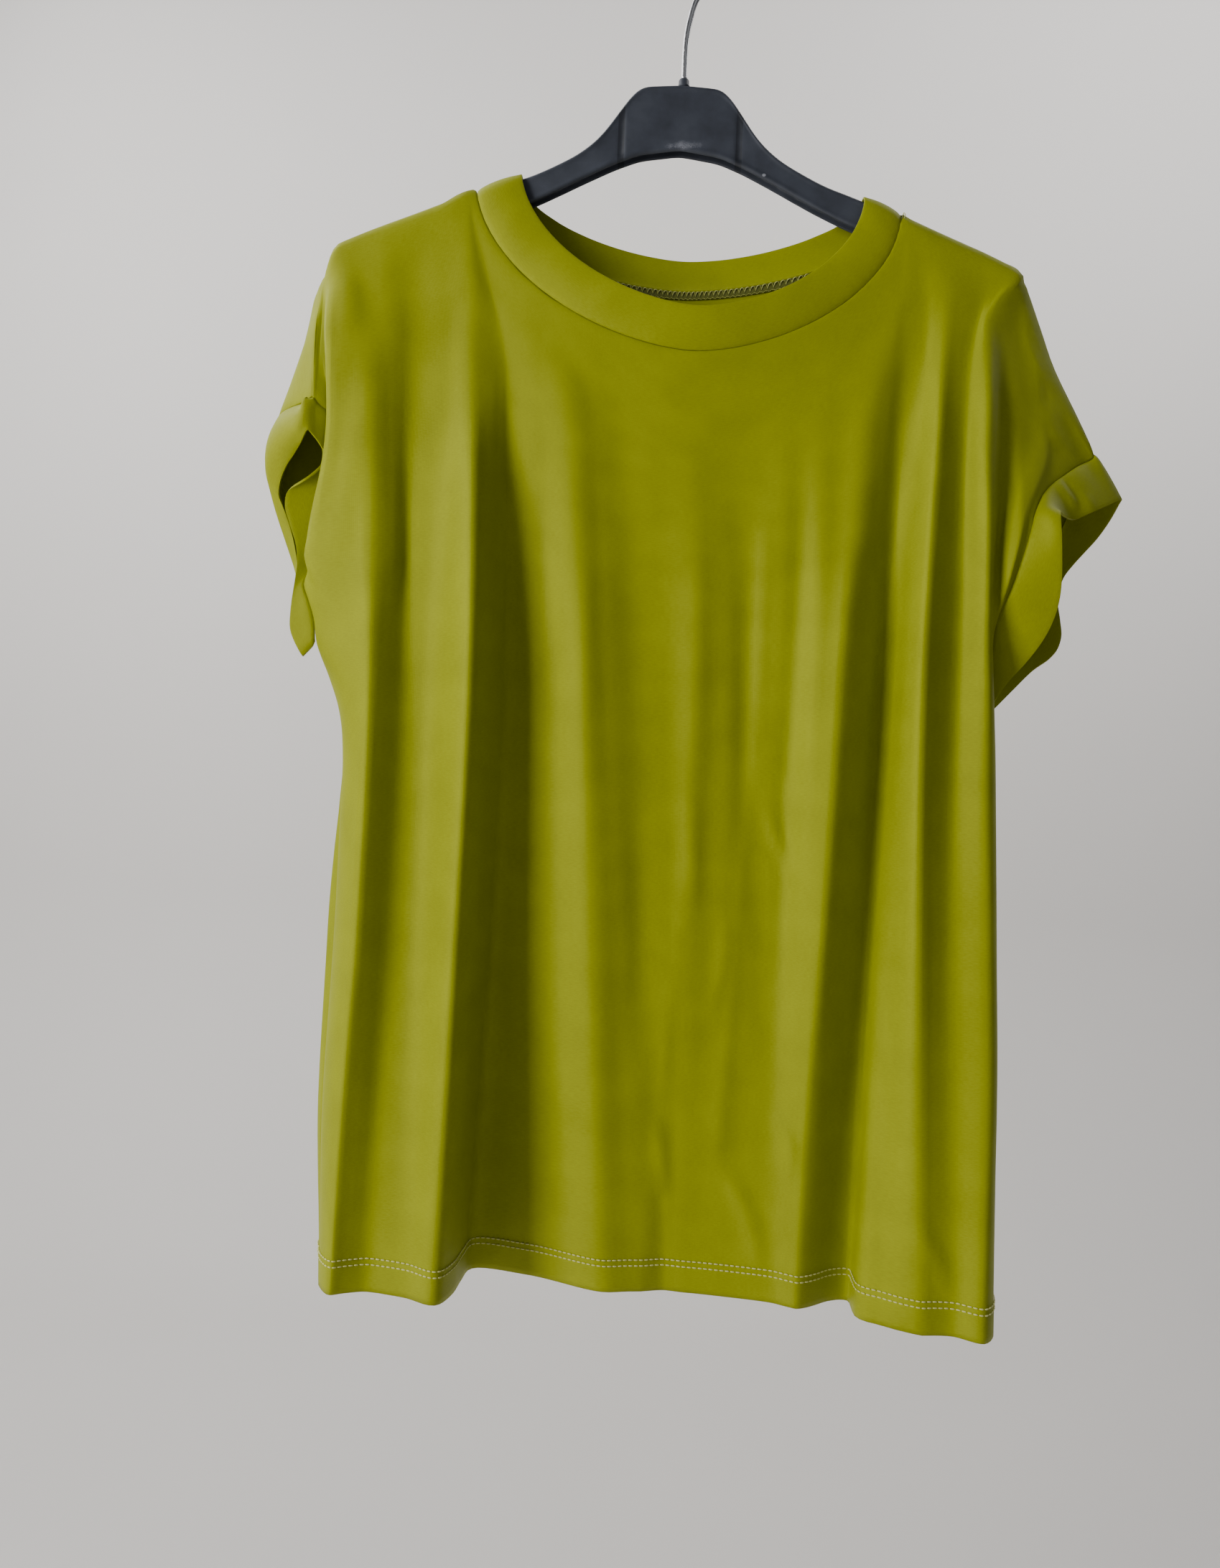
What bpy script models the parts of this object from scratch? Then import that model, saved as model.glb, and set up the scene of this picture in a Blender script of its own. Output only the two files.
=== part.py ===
"""Short-sleeved knit top hung on a plastic hanger with a wire hook.

Metres, +Z up, the front faces -Y. The origin is the inner crest of the hook, where a rail carries it.
Tables are in millimetres. A drop is a height, measured downwards from the origin.
"""
import bpy
import bmesh
import numpy as np

MM = 0.001

# driving dimensions, in millimetres
JERSEY = 1.2            # wall of one layer of the jersey, with its turned edges
BAND = 1.6              # wall of the doubled neckband and cuffs
SEAM_GAP = 0.3          # between two pieces at a seam
CORNER_GAP = 1.4        # where three pieces meet, at the neck and the cuff tops
UNDERARM_GAP = 2.4      # and at the underarms
SEAM_REACH = 3.0        # farthest that a wall stops short of its seam, in a sharp fold
HEM_DROP = 819.0        # from the hook's crest to the hem
CUFF_TOP_DROPS = (294.0, 313.0)  # of the left and the right sleeve
UNDERARM_DROPS = (441.0, 455.0)

PLATE_DROP = 100.2      # from the hook's crest to the top of the hanger's plate
CLOTH_LIFT = 1.9        # middle of the cloth above the hanger's arm
ARM_RADIUS = 7.8        # the cloth's bend over the arm, front to back
HANGER_TILT = 0.02      # fall of the hanger to the right, for each millimetre across
HANGER_SIDES = 12       # of its section
TIP_X = (-208.0, 207.0)  # where the cloth bends down over the hanger's tips
TIP_FALL = 1.4          # slope of the cloth past a tip

NECK_CENTRE = 5.7       # the neckline has slid to the wearer's left on the hanger
NECK_HALF = 126.5
NECK_BOW = 1.18
# fall of a neckline in its middle, how far its lowest point has slid, roundness, and y in the middle
NECK_FRONT = (92.5, 6.0, 1.1, -14.0)
NECK_BACK = (47.0, -4.0, 1.18, 15.0)
BAND_FRONT = (77.5, 5.0, 1.1, -18.0)
BAND_BACK = (35.5, -4.0, 1.18, 21.0)
BAND_CENTRE = 8.0
BAND_HALF = 102.0
BAND_LIFT = 0.8          # of its edge above the cloth on the arm
BAND_CROWN = 1.2

WIRE = 3.5
HOOK_RADIUS = 22.0
HOOK_POINTS = 48        # along the wire
CROOK_DEGREES = (-28, 188, 12)  # from the end of the stem round to the tip, and the step
SOCKET_RADIUS = 3.6
SOCKET_TAPER = 0.85
SOCKET_HEIGHT = 5.0
SOCKET_SIDES = 20
STEM_X = 1.0            # the wire and its socket stand a little to the right of the plate's middle
TOUCH = 0.3             # between pieces that touch
SHARP_DEGREES = 50      # an edge that turns more than this is sharp

# Outline of the hanger: distance from the middle, upper edge and lower edge, both from the plate's top
HANGER = (
    (0.0, 0.0, -39.5),
    (23.5, -1.5, -43.0),
    (30.0, -7.0, -45.5),
    (40.0, -22.0, -49.5),
    (48.0, -33.0, -53.5),
    (58.7, -42.0, -59.0),
    (80.0, -54.0, -70.5),
    (100.0, -61.0, -80.0),
    (120.0, -68.5, -86.5),
    (155.0, -83.2, -98.5),
    (181.0, -93.7, -107.5),
    (200.0, -102.3, -114.5),
    (202.6, -105.5, -113.5),
    (204.6, -108.3, -111.5),
)
# distance from the middle, then the section's depth front to back
HANGER_DEPTHS = ((0.0, 11.4), (190.0, 11.4), (202.6, 6.4), (204.6, 3.2))
# distance from the middle, then the power of its sine and cosine: 1 is an ellipse, less is squarer
HANGER_ROUNDING = ((60.0, 0.35), (92.0, 1.0))
# distances of its sections from the middle: from, to and how many
HANGER_STATIONS = ((0.0, 20.0, 4), (23.5, 60.0, 9), (70.0, 200.0, 9), (202.6, 204.6, 2))

# the wire above its straight foot, as x and z, up to the crook
HOOK_STEM = ((1.0, -80.0), (1.5, -70.0), (3.4, -58.0), (6.8, -46.5), (12.5, -38.5))

# Top edge of each sleeve, outside the hanger's tip: place (0 and 5 are the cuffs, 1 and 4 the tips),
# then x, y and drop
LEFT_SLEEVE_TOP = ((0.0, -214, -12, 294), (0.45, -215, -7, 250), (0.8, -213.5, -3, 222))
RIGHT_SLEEVE_TOP = ((4.2, 211, 0, 222), (4.55, 226, 0, 262), (5.0, 252, 0, 313))

# Folds of a panel, left to right: name, its place on the top edge (0 cuff, 1 hanger tip, 2 neck corner,
# 3 other neck corner, 4 tip, 5 cuff), x at the chest, waist and hem, then y at the chest, waist and hem
FOLD_DROPS = (249.0, 479.0, 816.0)
FRONT_FOLDS = (
    ("left_ridge", 1.25, -178, -169, -174, -15, -26, -34),
    ("left_trough", 1.53, -157, -153, -158, -10, -17, -30),
    ("left_tube", 2.00, -117, -107, -112, -11, -37, -38),
    ("left_tube_edge", 2.06, -108, -101, -107, -9, -29, -24),
    ("left_recess", 2.17, -97, -90, -102, -9, -7, 12),
    ("middle_ridge", 2.27, -59, -42, -21, -12, -21, -9),
    ("middle_trough", 2.36, -31, -12, 14, -11, -11, -2),
    ("centre_ridge", 2.45, 0, 20, 28, -11, -16, -5),
    ("centre_trough", 2.57, 38, 44, 56, -12, -12, -9),
    ("right_slope", 2.68, 78, 76, 80, -13, -17, -12),
    ("right_ridge", 2.80, 115, 105, 97, -13, -27, -17),
    ("right_recess", 3.00, 139, 131, 126, -10, -6, -6),
    ("right_tube_edge", 3.12, 149, 137, 127, -10, -18, -27),
    ("right_tube", 3.36, 159, 147, 154, -15, -38, -42),
    ("right_trough", 3.66, 174, 169, 178, -13, -28, -45),
)
BACK_FOLDS = (
    ("left_trough", 1.50, -163, -158, -156, 12, 20, 25),
    ("left_ridge", 2.00, -126, -128, -130, 14, 32, 42),
    ("left_valley", 2.20, -88, -92, -98, 14, 21, 27),
    ("middle_ridge", 2.35, -46, -52, -60, 15, 30, 41),
    ("centre_valley", 2.50, -4, -8, -14, 14, 20, 24),
    ("centre_ridge", 2.64, 40, 42, 38, 15, 27, 37),
    ("right_valley", 2.79, 88, 84, 80, 14, 19, 23),
    ("right_ridge", 3.00, 134, 126, 122, 14, 30, 41),
    ("right_trough", 3.52, 168, 163, 166, 12, 20, 26),
)

# Outer stretch of each panel, a row for each section: its drop, then x and y of the sewn edge, of two
# lines down the sleeve and of the line that hangs from the hanger's tip. Above its start, a line holds
# its first value.
FRONT_LEFT = (
    (205, -214, -12, -212, -5, -211, -5, -208, -7),
    (225, -214, -12, -212, -5, -211, -5, -208, -8),
    (250, -214, -12, -212, -5, -207, -4, -207, -13),
    (275, -214, -12, -208, -5.5, -201, -3, -205, -16),
    (294, -214, -12, -202.5, -5.5, -196.5, -3, -204, -17),
    (303, -204, -8.5, -199.5, -5, -194.5, -4, -203.5, -17),
    (318, -197, -4, -194.5, -3, -193.5, -6.5, -203.5, -17),
    (340, -194, 1, -191.5, -1, -194.5, -9, -206, -17),
    (365, -197, 3, -195, -2, -201, -10.5, -210.5, -16),
    (390, -208, 0, -210, -5, -213, -11, -212, -16),
    (405, -216, -7, -214, -10, -210, -13.5, -204, -17.5),
    (423, -209, -10.5, -205, -13.5, -200, -16.5, -193, -19),
    (441, -207, -9, -203, -12.5, -198, -15.5, -190, -19),
    (468, -197, -1, -195, -7, -191, -13.5, -185, -19),
    (502, -189.5, 5, -189, -1, -187, -9, -181.5, -17),
    (600, -191, 5, -190, -2, -187, -11, -181, -20),
    (700, -193, -4, -191, -10, -188, -18, -182, -26),
    (819, -187, -20, -185, -24, -182, -29, -178.5, -33),
)
FRONT_RIGHT = (
    (203, 252, 0, 226, -1, 211, -3, 207, -7),
    (225, 252, 0, 222, -3, 205, -6, 196, -10),
    (250, 252, 0, 219, -5, 200, -8, 188, -14),
    (275, 252, 0, 218, -7, 198, -10, 186, -19),
    (300, 252, 0, 219, -9, 197, -12, 185, -23),
    (313, 252, 0, 217, -12, 197, -14, 184.5, -25),
    (324, 238, -8, 213, -15, 196, -16, 184, -26),
    (337, 222, -16, 207, -18, 195, -18, 184, -28),
    (348, 214, -22, 203, -21, 193, -21, 184, -29),
    (375, 206, -29, 198, -27, 190, -25, 184, -31),
    (406, 196, -27, 193, -27.5, 188, -27.5, 184, -32),
    (415, 193, -24.5, 191.3, -26.5, 188, -28, 184, -32.5),
    (424, 191.5, -21, 190.5, -24.5, 188, -28.5, 184, -33),
    (440, 191, -14, 190.5, -21, 189, -28.5, 184.5, -34),
    (455, 191, -7, 191, -18, 190, -28, 185.5, -34.5),
    (502, 195, -3, 195, -15, 193, -27, 187, -36),
    (600, 199, -2, 199, -16, 196, -31, 191, -39),
    (700, 203, -2, 202.5, -17, 199, -34, 194, -43),
    (819, 206, -6, 203, -24, 199, -42, 193, -51),
)
BACK_LEFT = (
    (205, -214, -12, -218, -4, -216, 1, -208, 7),
    (222, -214, -12, -218, -4, -216, 1, -208, 9),
    (231, -214, -12, -218, -4, -219, 3, -209, 11),
    (249, -214, -12, -218, -4, -223, 6, -210, 13),
    (258, -214, -12, -222, -2, -225.5, 8, -211, 14),
    (267, -214, -12, -226, 1, -227.5, 10, -211, 15),
    (284, -214, -12, -232.5, 5, -230, 13, -212, 17),
    (294, -214, -12, -236, 7.5, -231, 15, -212, 18),
    (298, -231, -3, -237.5, 9, -232, 15.5, -212, 18.5),
    (303, -239, 3, -239.5, 10, -232.5, 16, -212, 19),
    (311, -242, 8, -241, 12.5, -233, 17, -212, 20),
    (337, -239, 14, -236, 17, -228, 20, -209, 22),
    (355, -234, 15, -230, 18, -222, 21, -205, 23),
    (372, -228, 15, -224, 18, -215, 21.5, -201, 24),
    (400, -219, 11, -215, 16, -207, 21, -195, 25),
    (423, -212, 2, -209, 10, -202, 18, -190, 24),
    (441, -207, -9, -205, 2, -199, 13, -187, 23),
    (468, -197, -1, -198, 6, -194, 15, -183, 23),
    (502, -189.5, 5, -192, 10, -189, 18, -178, 24),
    (600, -191, 5, -197, 9, -196, 18, -182, 26),
    (700, -193, -4, -198, 4, -197, 16, -183, 28),
    (819, -187, -20, -189, -10, -188, 6, -178, 22),
)
BACK_RIGHT = (
    (203, 252, 0, 226, 1, 211, 3, 207, 7),
    (225, 252, 0, 224, 3, 208, 6, 197, 9),
    (250, 252, 0, 224, 6, 208, 11, 194, 13),
    (275, 252, 0, 228, 9, 209, 15, 193, 16),
    (300, 252, 0, 234, 11, 211, 18, 193, 19),
    (313, 252, 1, 236, 13, 212, 19, 193, 20),
    (325, 249, 9, 235, 16, 212, 20, 193, 21),
    (345, 243, 18, 230, 20, 210, 21, 193, 22),
    (370, 232, 20, 220, 21, 205, 21, 191, 23),
    (400, 217, 16, 208, 18, 199, 20, 189, 24),
    (430, 204, 8, 199, 13, 194, 18, 188, 24),
    (455, 191, -7, 194, 6, 193, 16, 187, 24),
    (502, 195, -3, 198, 6, 196, 15, 189, 24),
    (600, 199, -2, 203, 8, 201, 17, 193, 26),
    (700, 203, -2, 208, 9, 206, 19, 197, 28),
    (819, 206, -6, 212, 9, 210, 21, 200, 30),
)
SLEEVE_STARTS = (0.0, 0.45, 0.80, 1.0)

# Mouth of each cuff, a row for each place round its edge: share of the way from the cuff top to the
# underarm, then x, y and drop
LEFT_MOUTH_FRONT = (
    (0.0, -214.5, -15, 315),
    (0.027, -210, -13, 320),
    (0.071, -206, -11, 327),
    (0.161, -209, -8, 337),
    (0.232, -222, -6, 345),
    (0.321, -231, -4, 353),
    (0.429, -228, -3, 367),
    (0.536, -223, -4, 380),
    (0.643, -221, -6, 394),
    (0.75, -222, -8, 410),
    (0.875, -223, -9, 430),
    (1, -215, -8, 449),
)
LEFT_MOUTH_BACK = (
    (0.0, -214.5, -15, 315),
    (0.011, -219, -12, 321),
    (0.027, -225, -8, 328),
    (0.046, -231, -3, 335),
    (0.079, -235, 1, 342),
    (0.143, -237, 5, 349),
    (0.232, -235, 8, 356),
    (0.321, -232, 9, 364),
    (0.429, -228, 9, 376),
    (0.536, -225, 9, 390),
    (0.643, -224, 8, 405),
    (0.75, -223, 6, 420),
    (0.875, -221, 1, 437),
    (1, -215, -8, 449),
)
RIGHT_MOUTH_FRONT = (
    (0.0, 269, 0, 339),
    (0.071, 252, -10, 348),
    (0.161, 234, -17, 356),
    (0.25, 224, -28, 353),
    (0.357, 224, -34, 369),
    (0.446, 225, -34, 388),
    (0.554, 225, -32, 404),
    (0.661, 222, -29, 418),
    (0.786, 214, -23, 435),
    (0.893, 203, -16, 450),
    (1, 194, -6, 469),
)
RIGHT_MOUTH_BACK = (
    (0.0, 269, 0, 339),
    (0.071, 266, 8, 349),
    (0.143, 261, 14, 359),
    (0.25, 250, 18, 373),
    (0.357, 243, 19, 383),
    (0.464, 239, 16, 399),
    (0.607, 240, 10, 417),
    (0.714, 236, 6, 430),
    (0.821, 223, 4, 441),
    (0.911, 208, 0, 456),
    (1, 194, -6, 469),
)
CUFF_MOUTHS = {"left": (LEFT_MOUTH_FRONT, LEFT_MOUTH_BACK), "right": (RIGHT_MOUTH_FRONT, RIGHT_MOUTH_BACK)}
CUFF_CROWNS = {"left": (0.0, 7.0), "right": (1.0, 1.5)}  # bow outwards of the front and back half

# rows of a panel: shares of the way from the top edge to the underarm, and from there to the hem
SLEEVE_ROWS = (0.0, 0.0028, 0.0075, 0.015, 0.026, 0.042, 0.065, 0.10, 0.15, 0.21, 0.28, 0.36, 0.45, 0.55,
               0.64, 0.70, 0.76, 0.82, 0.90, 1.0)
BODY_ROWS = (0.055, 0.11, 0.18, 0.25, 0.33, 0.42, 0.50, 0.58, 0.67, 0.75, 0.83, 0.92, 1.0)
LINE_CUTS = (0.0, 0.5)  # columns of a panel in each stretch between two lines
# and more of them at the tips and the neck corners
CORNER_PLACES = (1.06, 1.095, 2.01, 2.022, 2.04, 2.96, 2.978, 2.99, 3.905, 3.94)

# fade from the top edge's line to the folds: panel under the shoulder, under the neck, in the sleeve
SHOULDER_FADE = 80.0
NECK_FADE = 70.0
SLEEVE_FADE = 6.0

# next to the neck corners the panel spreads sideways from the steep neckline, over a short drop
CORNER_SPREAD_PLACES = (2.0, 2.04, 2.2, 2.8, 2.96, 3.0)
CORNER_SPREAD = (-4.0, -3.0, 0.0, 0.0, 3.0, 4.0)
SPREAD_DROP = 6.0

# How each panel leaves the fold along the top of a sleeve: place, then x and y of the front's first
# step, and x and y of the back's
SLEEVE_SPREAD = (
    (0.0, 3, 2, -4, 3),
    (0.45, 3, 2, -3, 3),
    (0.8, 2.5, -2, -2.5, 4),
    (1.0, 0, -7.6, 0, 7.6),
    (4.0, 0, -7.6, 0, 7.6),
    (4.2, 0, -3.5, 0, 3.5),
    (5.0, 0, -3.5, 0, 3.5),
)


def smooth_weights(knots, at):
    """Weights that turn values at the knots into a smooth curve through them, read at the places at."""
    knots = np.asarray(knots, dtype=float)
    at = np.clip(np.asarray(at, dtype=float), knots[0], knots[-1])
    one = np.eye(len(knots))
    slopes = np.gradient(one, knots, axis=0)
    k = np.clip(np.searchsorted(knots, at, side="right") - 1, 0, len(knots) - 2)
    step = (knots[k + 1] - knots[k])[:, None]
    t = ((at - knots[k])[:, None]) / step
    start = (1 + 2 * t) * (1 - t) ** 2 * one[k] + t * (1 - t) ** 2 * step * slopes[k]
    end = t * t * (3 - 2 * t) * one[k + 1] + t * t * (t - 1) * step * slopes[k + 1]
    return start + end


def table_curve(knots, values, at):
    """Smooth curve through a column of a table, which never swings past its values."""
    knots = np.asarray(knots, dtype=float)
    values = np.asarray(values, dtype=float)
    rise = np.diff(values) / np.diff(knots)
    product = rise[:-1] * rise[1:]
    total = np.where(product > 0, rise[:-1] + rise[1:], 1.0)
    slopes = np.concatenate((rise[:1], np.where(product > 0, 2 * product / total, 0.0), rise[-1:]))
    at = np.clip(at, knots[0], knots[-1])
    k = np.clip(np.searchsorted(knots, at, side="right") - 1, 0, len(knots) - 2)
    step = knots[k + 1] - knots[k]
    t = (at - knots[k]) / step
    start = (1 + 2 * t) * (1 - t) ** 2 * values[k] + t * (1 - t) ** 2 * step * slopes[k]
    end = t * t * (3 - 2 * t) * values[k + 1] + t * t * (t - 1) * step * slopes[k + 1]
    return start + end


def ease(t):
    """0 to 1, flat at both ends."""
    t = np.clip(t, 0.0, 1.0)
    return t * t * (3 - 2 * t)


def shoulder_drop(x):
    """Drop of the cloth's top line on the hanger's arms."""
    table = np.array(HANGER)
    line = np.interp(np.abs(x), table[:, 0], table[:, 1])
    past_tip = np.clip(np.abs(x) - table[-1, 0], 0.0, None)
    return PLATE_DROP - line - CLOTH_LIFT + TIP_FALL * past_tip + HANGER_TILT * x


def bend_over(below, radius):
    """How far the cloth has come forward from the top line, a quarter round of the given radius."""
    t = np.clip(below / radius, 0.0, 1.0)
    return radius * np.sqrt(np.clip(1 - (1 - t) ** 2, 0.0, 1.0))


def neck_line(turn, edge, centre, half):
    """Half a neckline: turn runs from 0 at the left shoulder to pi at the right one.

    Across it is the centre less half the width times the cosine, downwards fall times the sine,
    each raised to a power of its own.
    """
    fall, shift, power, depth = edge
    sine = np.abs(np.sin(turn))
    cosine = np.cos(turn)
    x = centre + shift * sine - half * np.sign(cosine) * np.abs(cosine) ** NECK_BOW
    below = fall * sine ** power
    ends = shoulder_drop(centre - half * np.cos(turn).clip(-1, 1))
    level = np.interp(turn, (0.0, np.pi), (shoulder_drop(centre - half), shoulder_drop(centre + half)))
    side = np.sign(depth)
    y = side * (bend_over(below, ARM_RADIUS) + (abs(depth) - ARM_RADIUS) * sine ** 2)
    return x, y, np.where(below > 0, level, ends) + below, below


def top_edge(place, side):
    """Top edge of a panel: cuff 0, hanger tip 1, neck corner 2, neck corner 3, tip 4, cuff 5.

    Gives x, y, the drop and how far the edge lies below the top line of the shoulders.
    """
    knots = (TIP_X[0], NECK_CENTRE - NECK_HALF, NECK_CENTRE + NECK_HALF, TIP_X[1])
    x = np.interp(place, (1, 2, 3, 4), knots)
    y = np.zeros_like(x)
    drop = shoulder_drop(x)
    for table, tip, tip_x in ((LEFT_SLEEVE_TOP, 1, TIP_X[0]), (RIGHT_SLEEVE_TOP, 4, TIP_X[1])):
        rows = np.array(sorted((*table, (tip, tip_x, 0.0, shoulder_drop(tip_x)))))
        on_sleeve = (place < 1) if tip == 1 else (place > 4)
        x, y, drop = [np.where(on_sleeve, np.interp(place, rows[:, 0], rows[:, i]), value)
                      for i, value in ((1, x), (2, y), (3, drop))]
    neck = (place > 2) & (place < 3)
    turn = np.clip(place - 2, 0.0, 1.0) * np.pi
    edge = NECK_FRONT if side < 0 else NECK_BACK
    nx, ny, nd, below = neck_line(turn, edge, NECK_CENTRE, NECK_HALF)
    return (np.where(neck, nx, x), np.where(neck, ny, y), np.where(neck, nd, drop),
            np.where(neck, below, 0.0))


def panel_lines(folds, left, right):
    """The lines of a panel from left to right: start on the top edge, and drops, x and y down it."""
    lines = []
    table = np.array(left, dtype=float)
    for i, start in enumerate(SLEEVE_STARTS):
        lines.append((start, table[:, 0], table[:, 1 + 2 * i], table[:, 2 + 2 * i], SLEEVE_FADE))
    for _, start, *places in folds:
        fade = NECK_FADE if 2 < start < 3 else SHOULDER_FADE
        lines.append((start, np.array(FOLD_DROPS), places[:3], places[3:], fade))
    table = np.array(right, dtype=float)
    for i, start in reversed(list(enumerate(SLEEVE_STARTS))):
        lines.append((5 - start, table[:, 0], table[:, 1 + 2 * i], table[:, 2 + 2 * i], SLEEVE_FADE))
    return lines


def row_drops(top, across):
    """Drops of a panel's rows: they start along the top edge, and are level from the underarm down.

    Above the underarm a row follows the line from cuff top to cuff top, plus what the top edge
    differs from it, which fades with the square of the share still to go.
    """
    cuff_top = np.interp(across, (0, 1), CUFF_TOP_DROPS)
    underarm = np.interp(across, (0, 1), UNDERARM_DROPS)
    share = np.array(SLEEVE_ROWS)[:, None]
    upper = cuff_top + (underarm - cuff_top) * share + (top - cuff_top) * (1 - share) ** 2
    lower = underarm + (HEM_DROP - underarm) * np.array(BODY_ROWS)[:, None]
    return np.concatenate((upper, lower))


def panel_grid(folds, left, right, side):
    """Middle surface of a panel, rows by columns by (x, y, z) in millimetres."""
    lines = panel_lines(folds, left, right)
    sections = [np.array([(table_curve(d, x, level), table_curve(d, y, level)) for _, d, x, y, _ in lines])
                for level in FOLD_DROPS[1:]]
    widths = sum(np.linalg.norm(np.diff(section, axis=0), axis=1) for section in sections) / len(sections)
    knots = np.concatenate(([0.0], np.cumsum(widths)))
    starts = np.array([line[0] for line in lines])
    fades = np.array([line[4] for line in lines])
    across = [knots[k] + c * (knots[k + 1] - knots[k]) for k in range(len(knots) - 1) for c in LINE_CUTS]
    across = np.sort(np.concatenate((across, [knots[-1]], np.interp(CORNER_PLACES, starts, knots))))
    weights = smooth_weights(knots, across)
    place = np.interp(across, knots, starts)
    top_x, top_y, top_drop, top_below = top_edge(place, side)
    drop = row_drops(top_drop, across / knots[-1])
    below = drop - top_drop
    line_drops = row_drops(top_edge(starts, side)[2], knots / knots[-1])
    x, y = [np.stack([table_curve(line[1], line[value], line_drops[:, i])
                      for i, line in enumerate(lines)], axis=-1) @ weights.T for value in (2, 3)]
    mix = ease(below / np.interp(across, knots, fades))
    spread = np.array(SLEEVE_SPREAD)
    columns = (1, 2) if side < 0 else (3, 4)
    spread_x, spread_y = [np.interp(place, spread[:, 0], spread[:, i]) for i in columns]
    turned = bend_over(below, SPREAD_DROP) / SPREAD_DROP
    on_top = (place > 1) & (place < 4)
    corner = np.interp(place, CORNER_SPREAD_PLACES, CORNER_SPREAD) * ease(below / SPREAD_DROP)
    over_arm = bend_over(top_below + below, ARM_RADIUS) - bend_over(top_below, ARM_RADIUS)
    rest_x = top_x + np.where(on_top, corner, spread_x * turned)
    rest_y = top_y + np.where(on_top, side * over_arm, spread_y * turned)
    x = rest_x + (x - rest_x) * mix
    y = rest_y + (y - rest_y) * mix
    return np.stack((x, y, -drop), axis=-1), place


def unit(vectors):
    """The same directions with length one."""
    return vectors / np.linalg.norm(vectors, axis=-1, keepdims=True)


def seam_end(seam, own, partner, normal, thickness, corners, ring=False):
    """Where the two skins of a wall end at a seam.

    They run on to the plane that halves the angle to the neighbouring wall, and stop half a gap
    before it: own and partner are the directions in which the two walls leave the seam, and
    corners holds the gap at each point where a third wall meets them.
    """
    gap = np.full((len(seam), 1), SEAM_GAP)
    for point, wide in corners.items():
        gap[point] = wide
    along = np.roll(seam, -1, axis=0) - np.roll(seam, 1, axis=0) if ring else np.gradient(seam, axis=0)
    along = unit(along)
    own = unit(own - along * (own * along).sum(-1, keepdims=True))
    partner = unit(partner - along * (partner * along).sum(-1, keepdims=True))
    out = np.cross(along, own)
    out *= np.sign((out * normal).sum(-1, keepdims=True))
    plane = unit(own - partner)
    slope = (plane * own).sum(-1, keepdims=True)
    skins = []
    for half in (thickness / 2, -thickness / 2):
        back = (gap / 2 - half * (plane * out).sum(-1, keepdims=True)) / slope
        skins.append(seam + own * np.clip(back, -SEAM_REACH / 2, SEAM_REACH) + out * half)
    return skins


def wall(name, grid, thickness, material, seams, ring=False):
    """Closed wall on a grid of points (mm): half the thickness to each side of the middle surface.

    seams gives, for an edge that is sewn, the directions in which its neighbour leaves the seam,
    and the corners along it.
    """
    rows, cols = grid.shape[:2]
    if ring:
        around = (np.roll(grid, -1, axis=1) - np.roll(grid, 1, axis=1)) / 2
    else:
        around = np.gradient(grid, axis=1)
    normal = unit(np.cross(around, np.gradient(grid, axis=0)))
    skins = np.stack((grid + normal * thickness / 2, grid - normal * thickness / 2))
    edges = {"top": np.s_[0, :], "left": np.s_[:, 0], "right": np.s_[:, -1]}
    for edge, (partner, corners) in seams.items():
        at = edges[edge]
        ends = seam_end(grid[at], steps_in(grid, edge), partner, normal[at], thickness, corners, ring)
        skins[(slice(None), *at)] = ends
    if not ring:
        for column, inner in ((0, 1), (-1, -2)):
            inward = unit(grid[1, column] - grid[0, column]) + unit(grid[0, inner] - grid[0, column])
            start = grid[0, column] + inward * CORNER_GAP / 2
            skins[:, 0, column] = start + np.outer((thickness / 2, -thickness / 2), normal[0, column])
    index = np.arange(2 * rows * cols).reshape(2, rows, cols)
    outer, inner = index
    if ring:
        outer = np.concatenate((outer, outer[:, :1]), axis=1)
        inner = np.concatenate((inner, inner[:, :1]), axis=1)

    def quads(a, b, c, d):
        return np.stack((a, b, c, d), axis=-1).reshape(-1, 4)

    faces = [quads(outer[:-1, :-1], outer[:-1, 1:], outer[1:, 1:], outer[1:, :-1]),
             quads(inner[:-1, :-1], inner[1:, :-1], inner[1:, 1:], inner[:-1, 1:]),
             quads(outer[0, :-1], inner[0, :-1], inner[0, 1:], outer[0, 1:]),
             quads(outer[-1, :-1], outer[-1, 1:], inner[-1, 1:], inner[-1, :-1])]
    if not ring:
        faces += [quads(outer[:-1, 0], outer[1:, 0], inner[1:, 0], inner[:-1, 0]),
                  quads(outer[:-1, -1], inner[:-1, -1], inner[1:, -1], outer[1:, -1])]
    return solid(name, skins.reshape(-1, 3), np.concatenate(faces).tolist(), material)


def solid(name, points, faces, material):
    """A smooth-shaded object from points in millimetres, with its faces turned outwards."""
    mesh = bpy.data.meshes.new(name)
    mesh.from_pydata((np.asarray(points) * MM).tolist(), [], faces)
    shape = bmesh.new()
    shape.from_mesh(mesh)
    bmesh.ops.recalc_face_normals(shape, faces=shape.faces)
    shape.to_mesh(mesh)
    shape.free()
    mesh.shade_smooth()
    mesh.set_sharp_from_angle(angle=np.radians(SHARP_DEGREES))
    mesh.materials.append(material)
    obj = bpy.data.objects.new(name, mesh)
    bpy.context.scene.collection.objects.link(obj)
    return obj


def finish(name, colour, roughness, metallic=0.0):
    """Principled material with one colour."""
    material = bpy.data.materials.new(name)
    material.use_nodes = True
    shader = material.node_tree.nodes["Principled BSDF"]
    shader.inputs["Base Color"].default_value = (*colour, 1.0)
    shader.inputs["Roughness"].default_value = roughness
    shader.inputs["Metallic"].default_value = metallic
    return material


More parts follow.
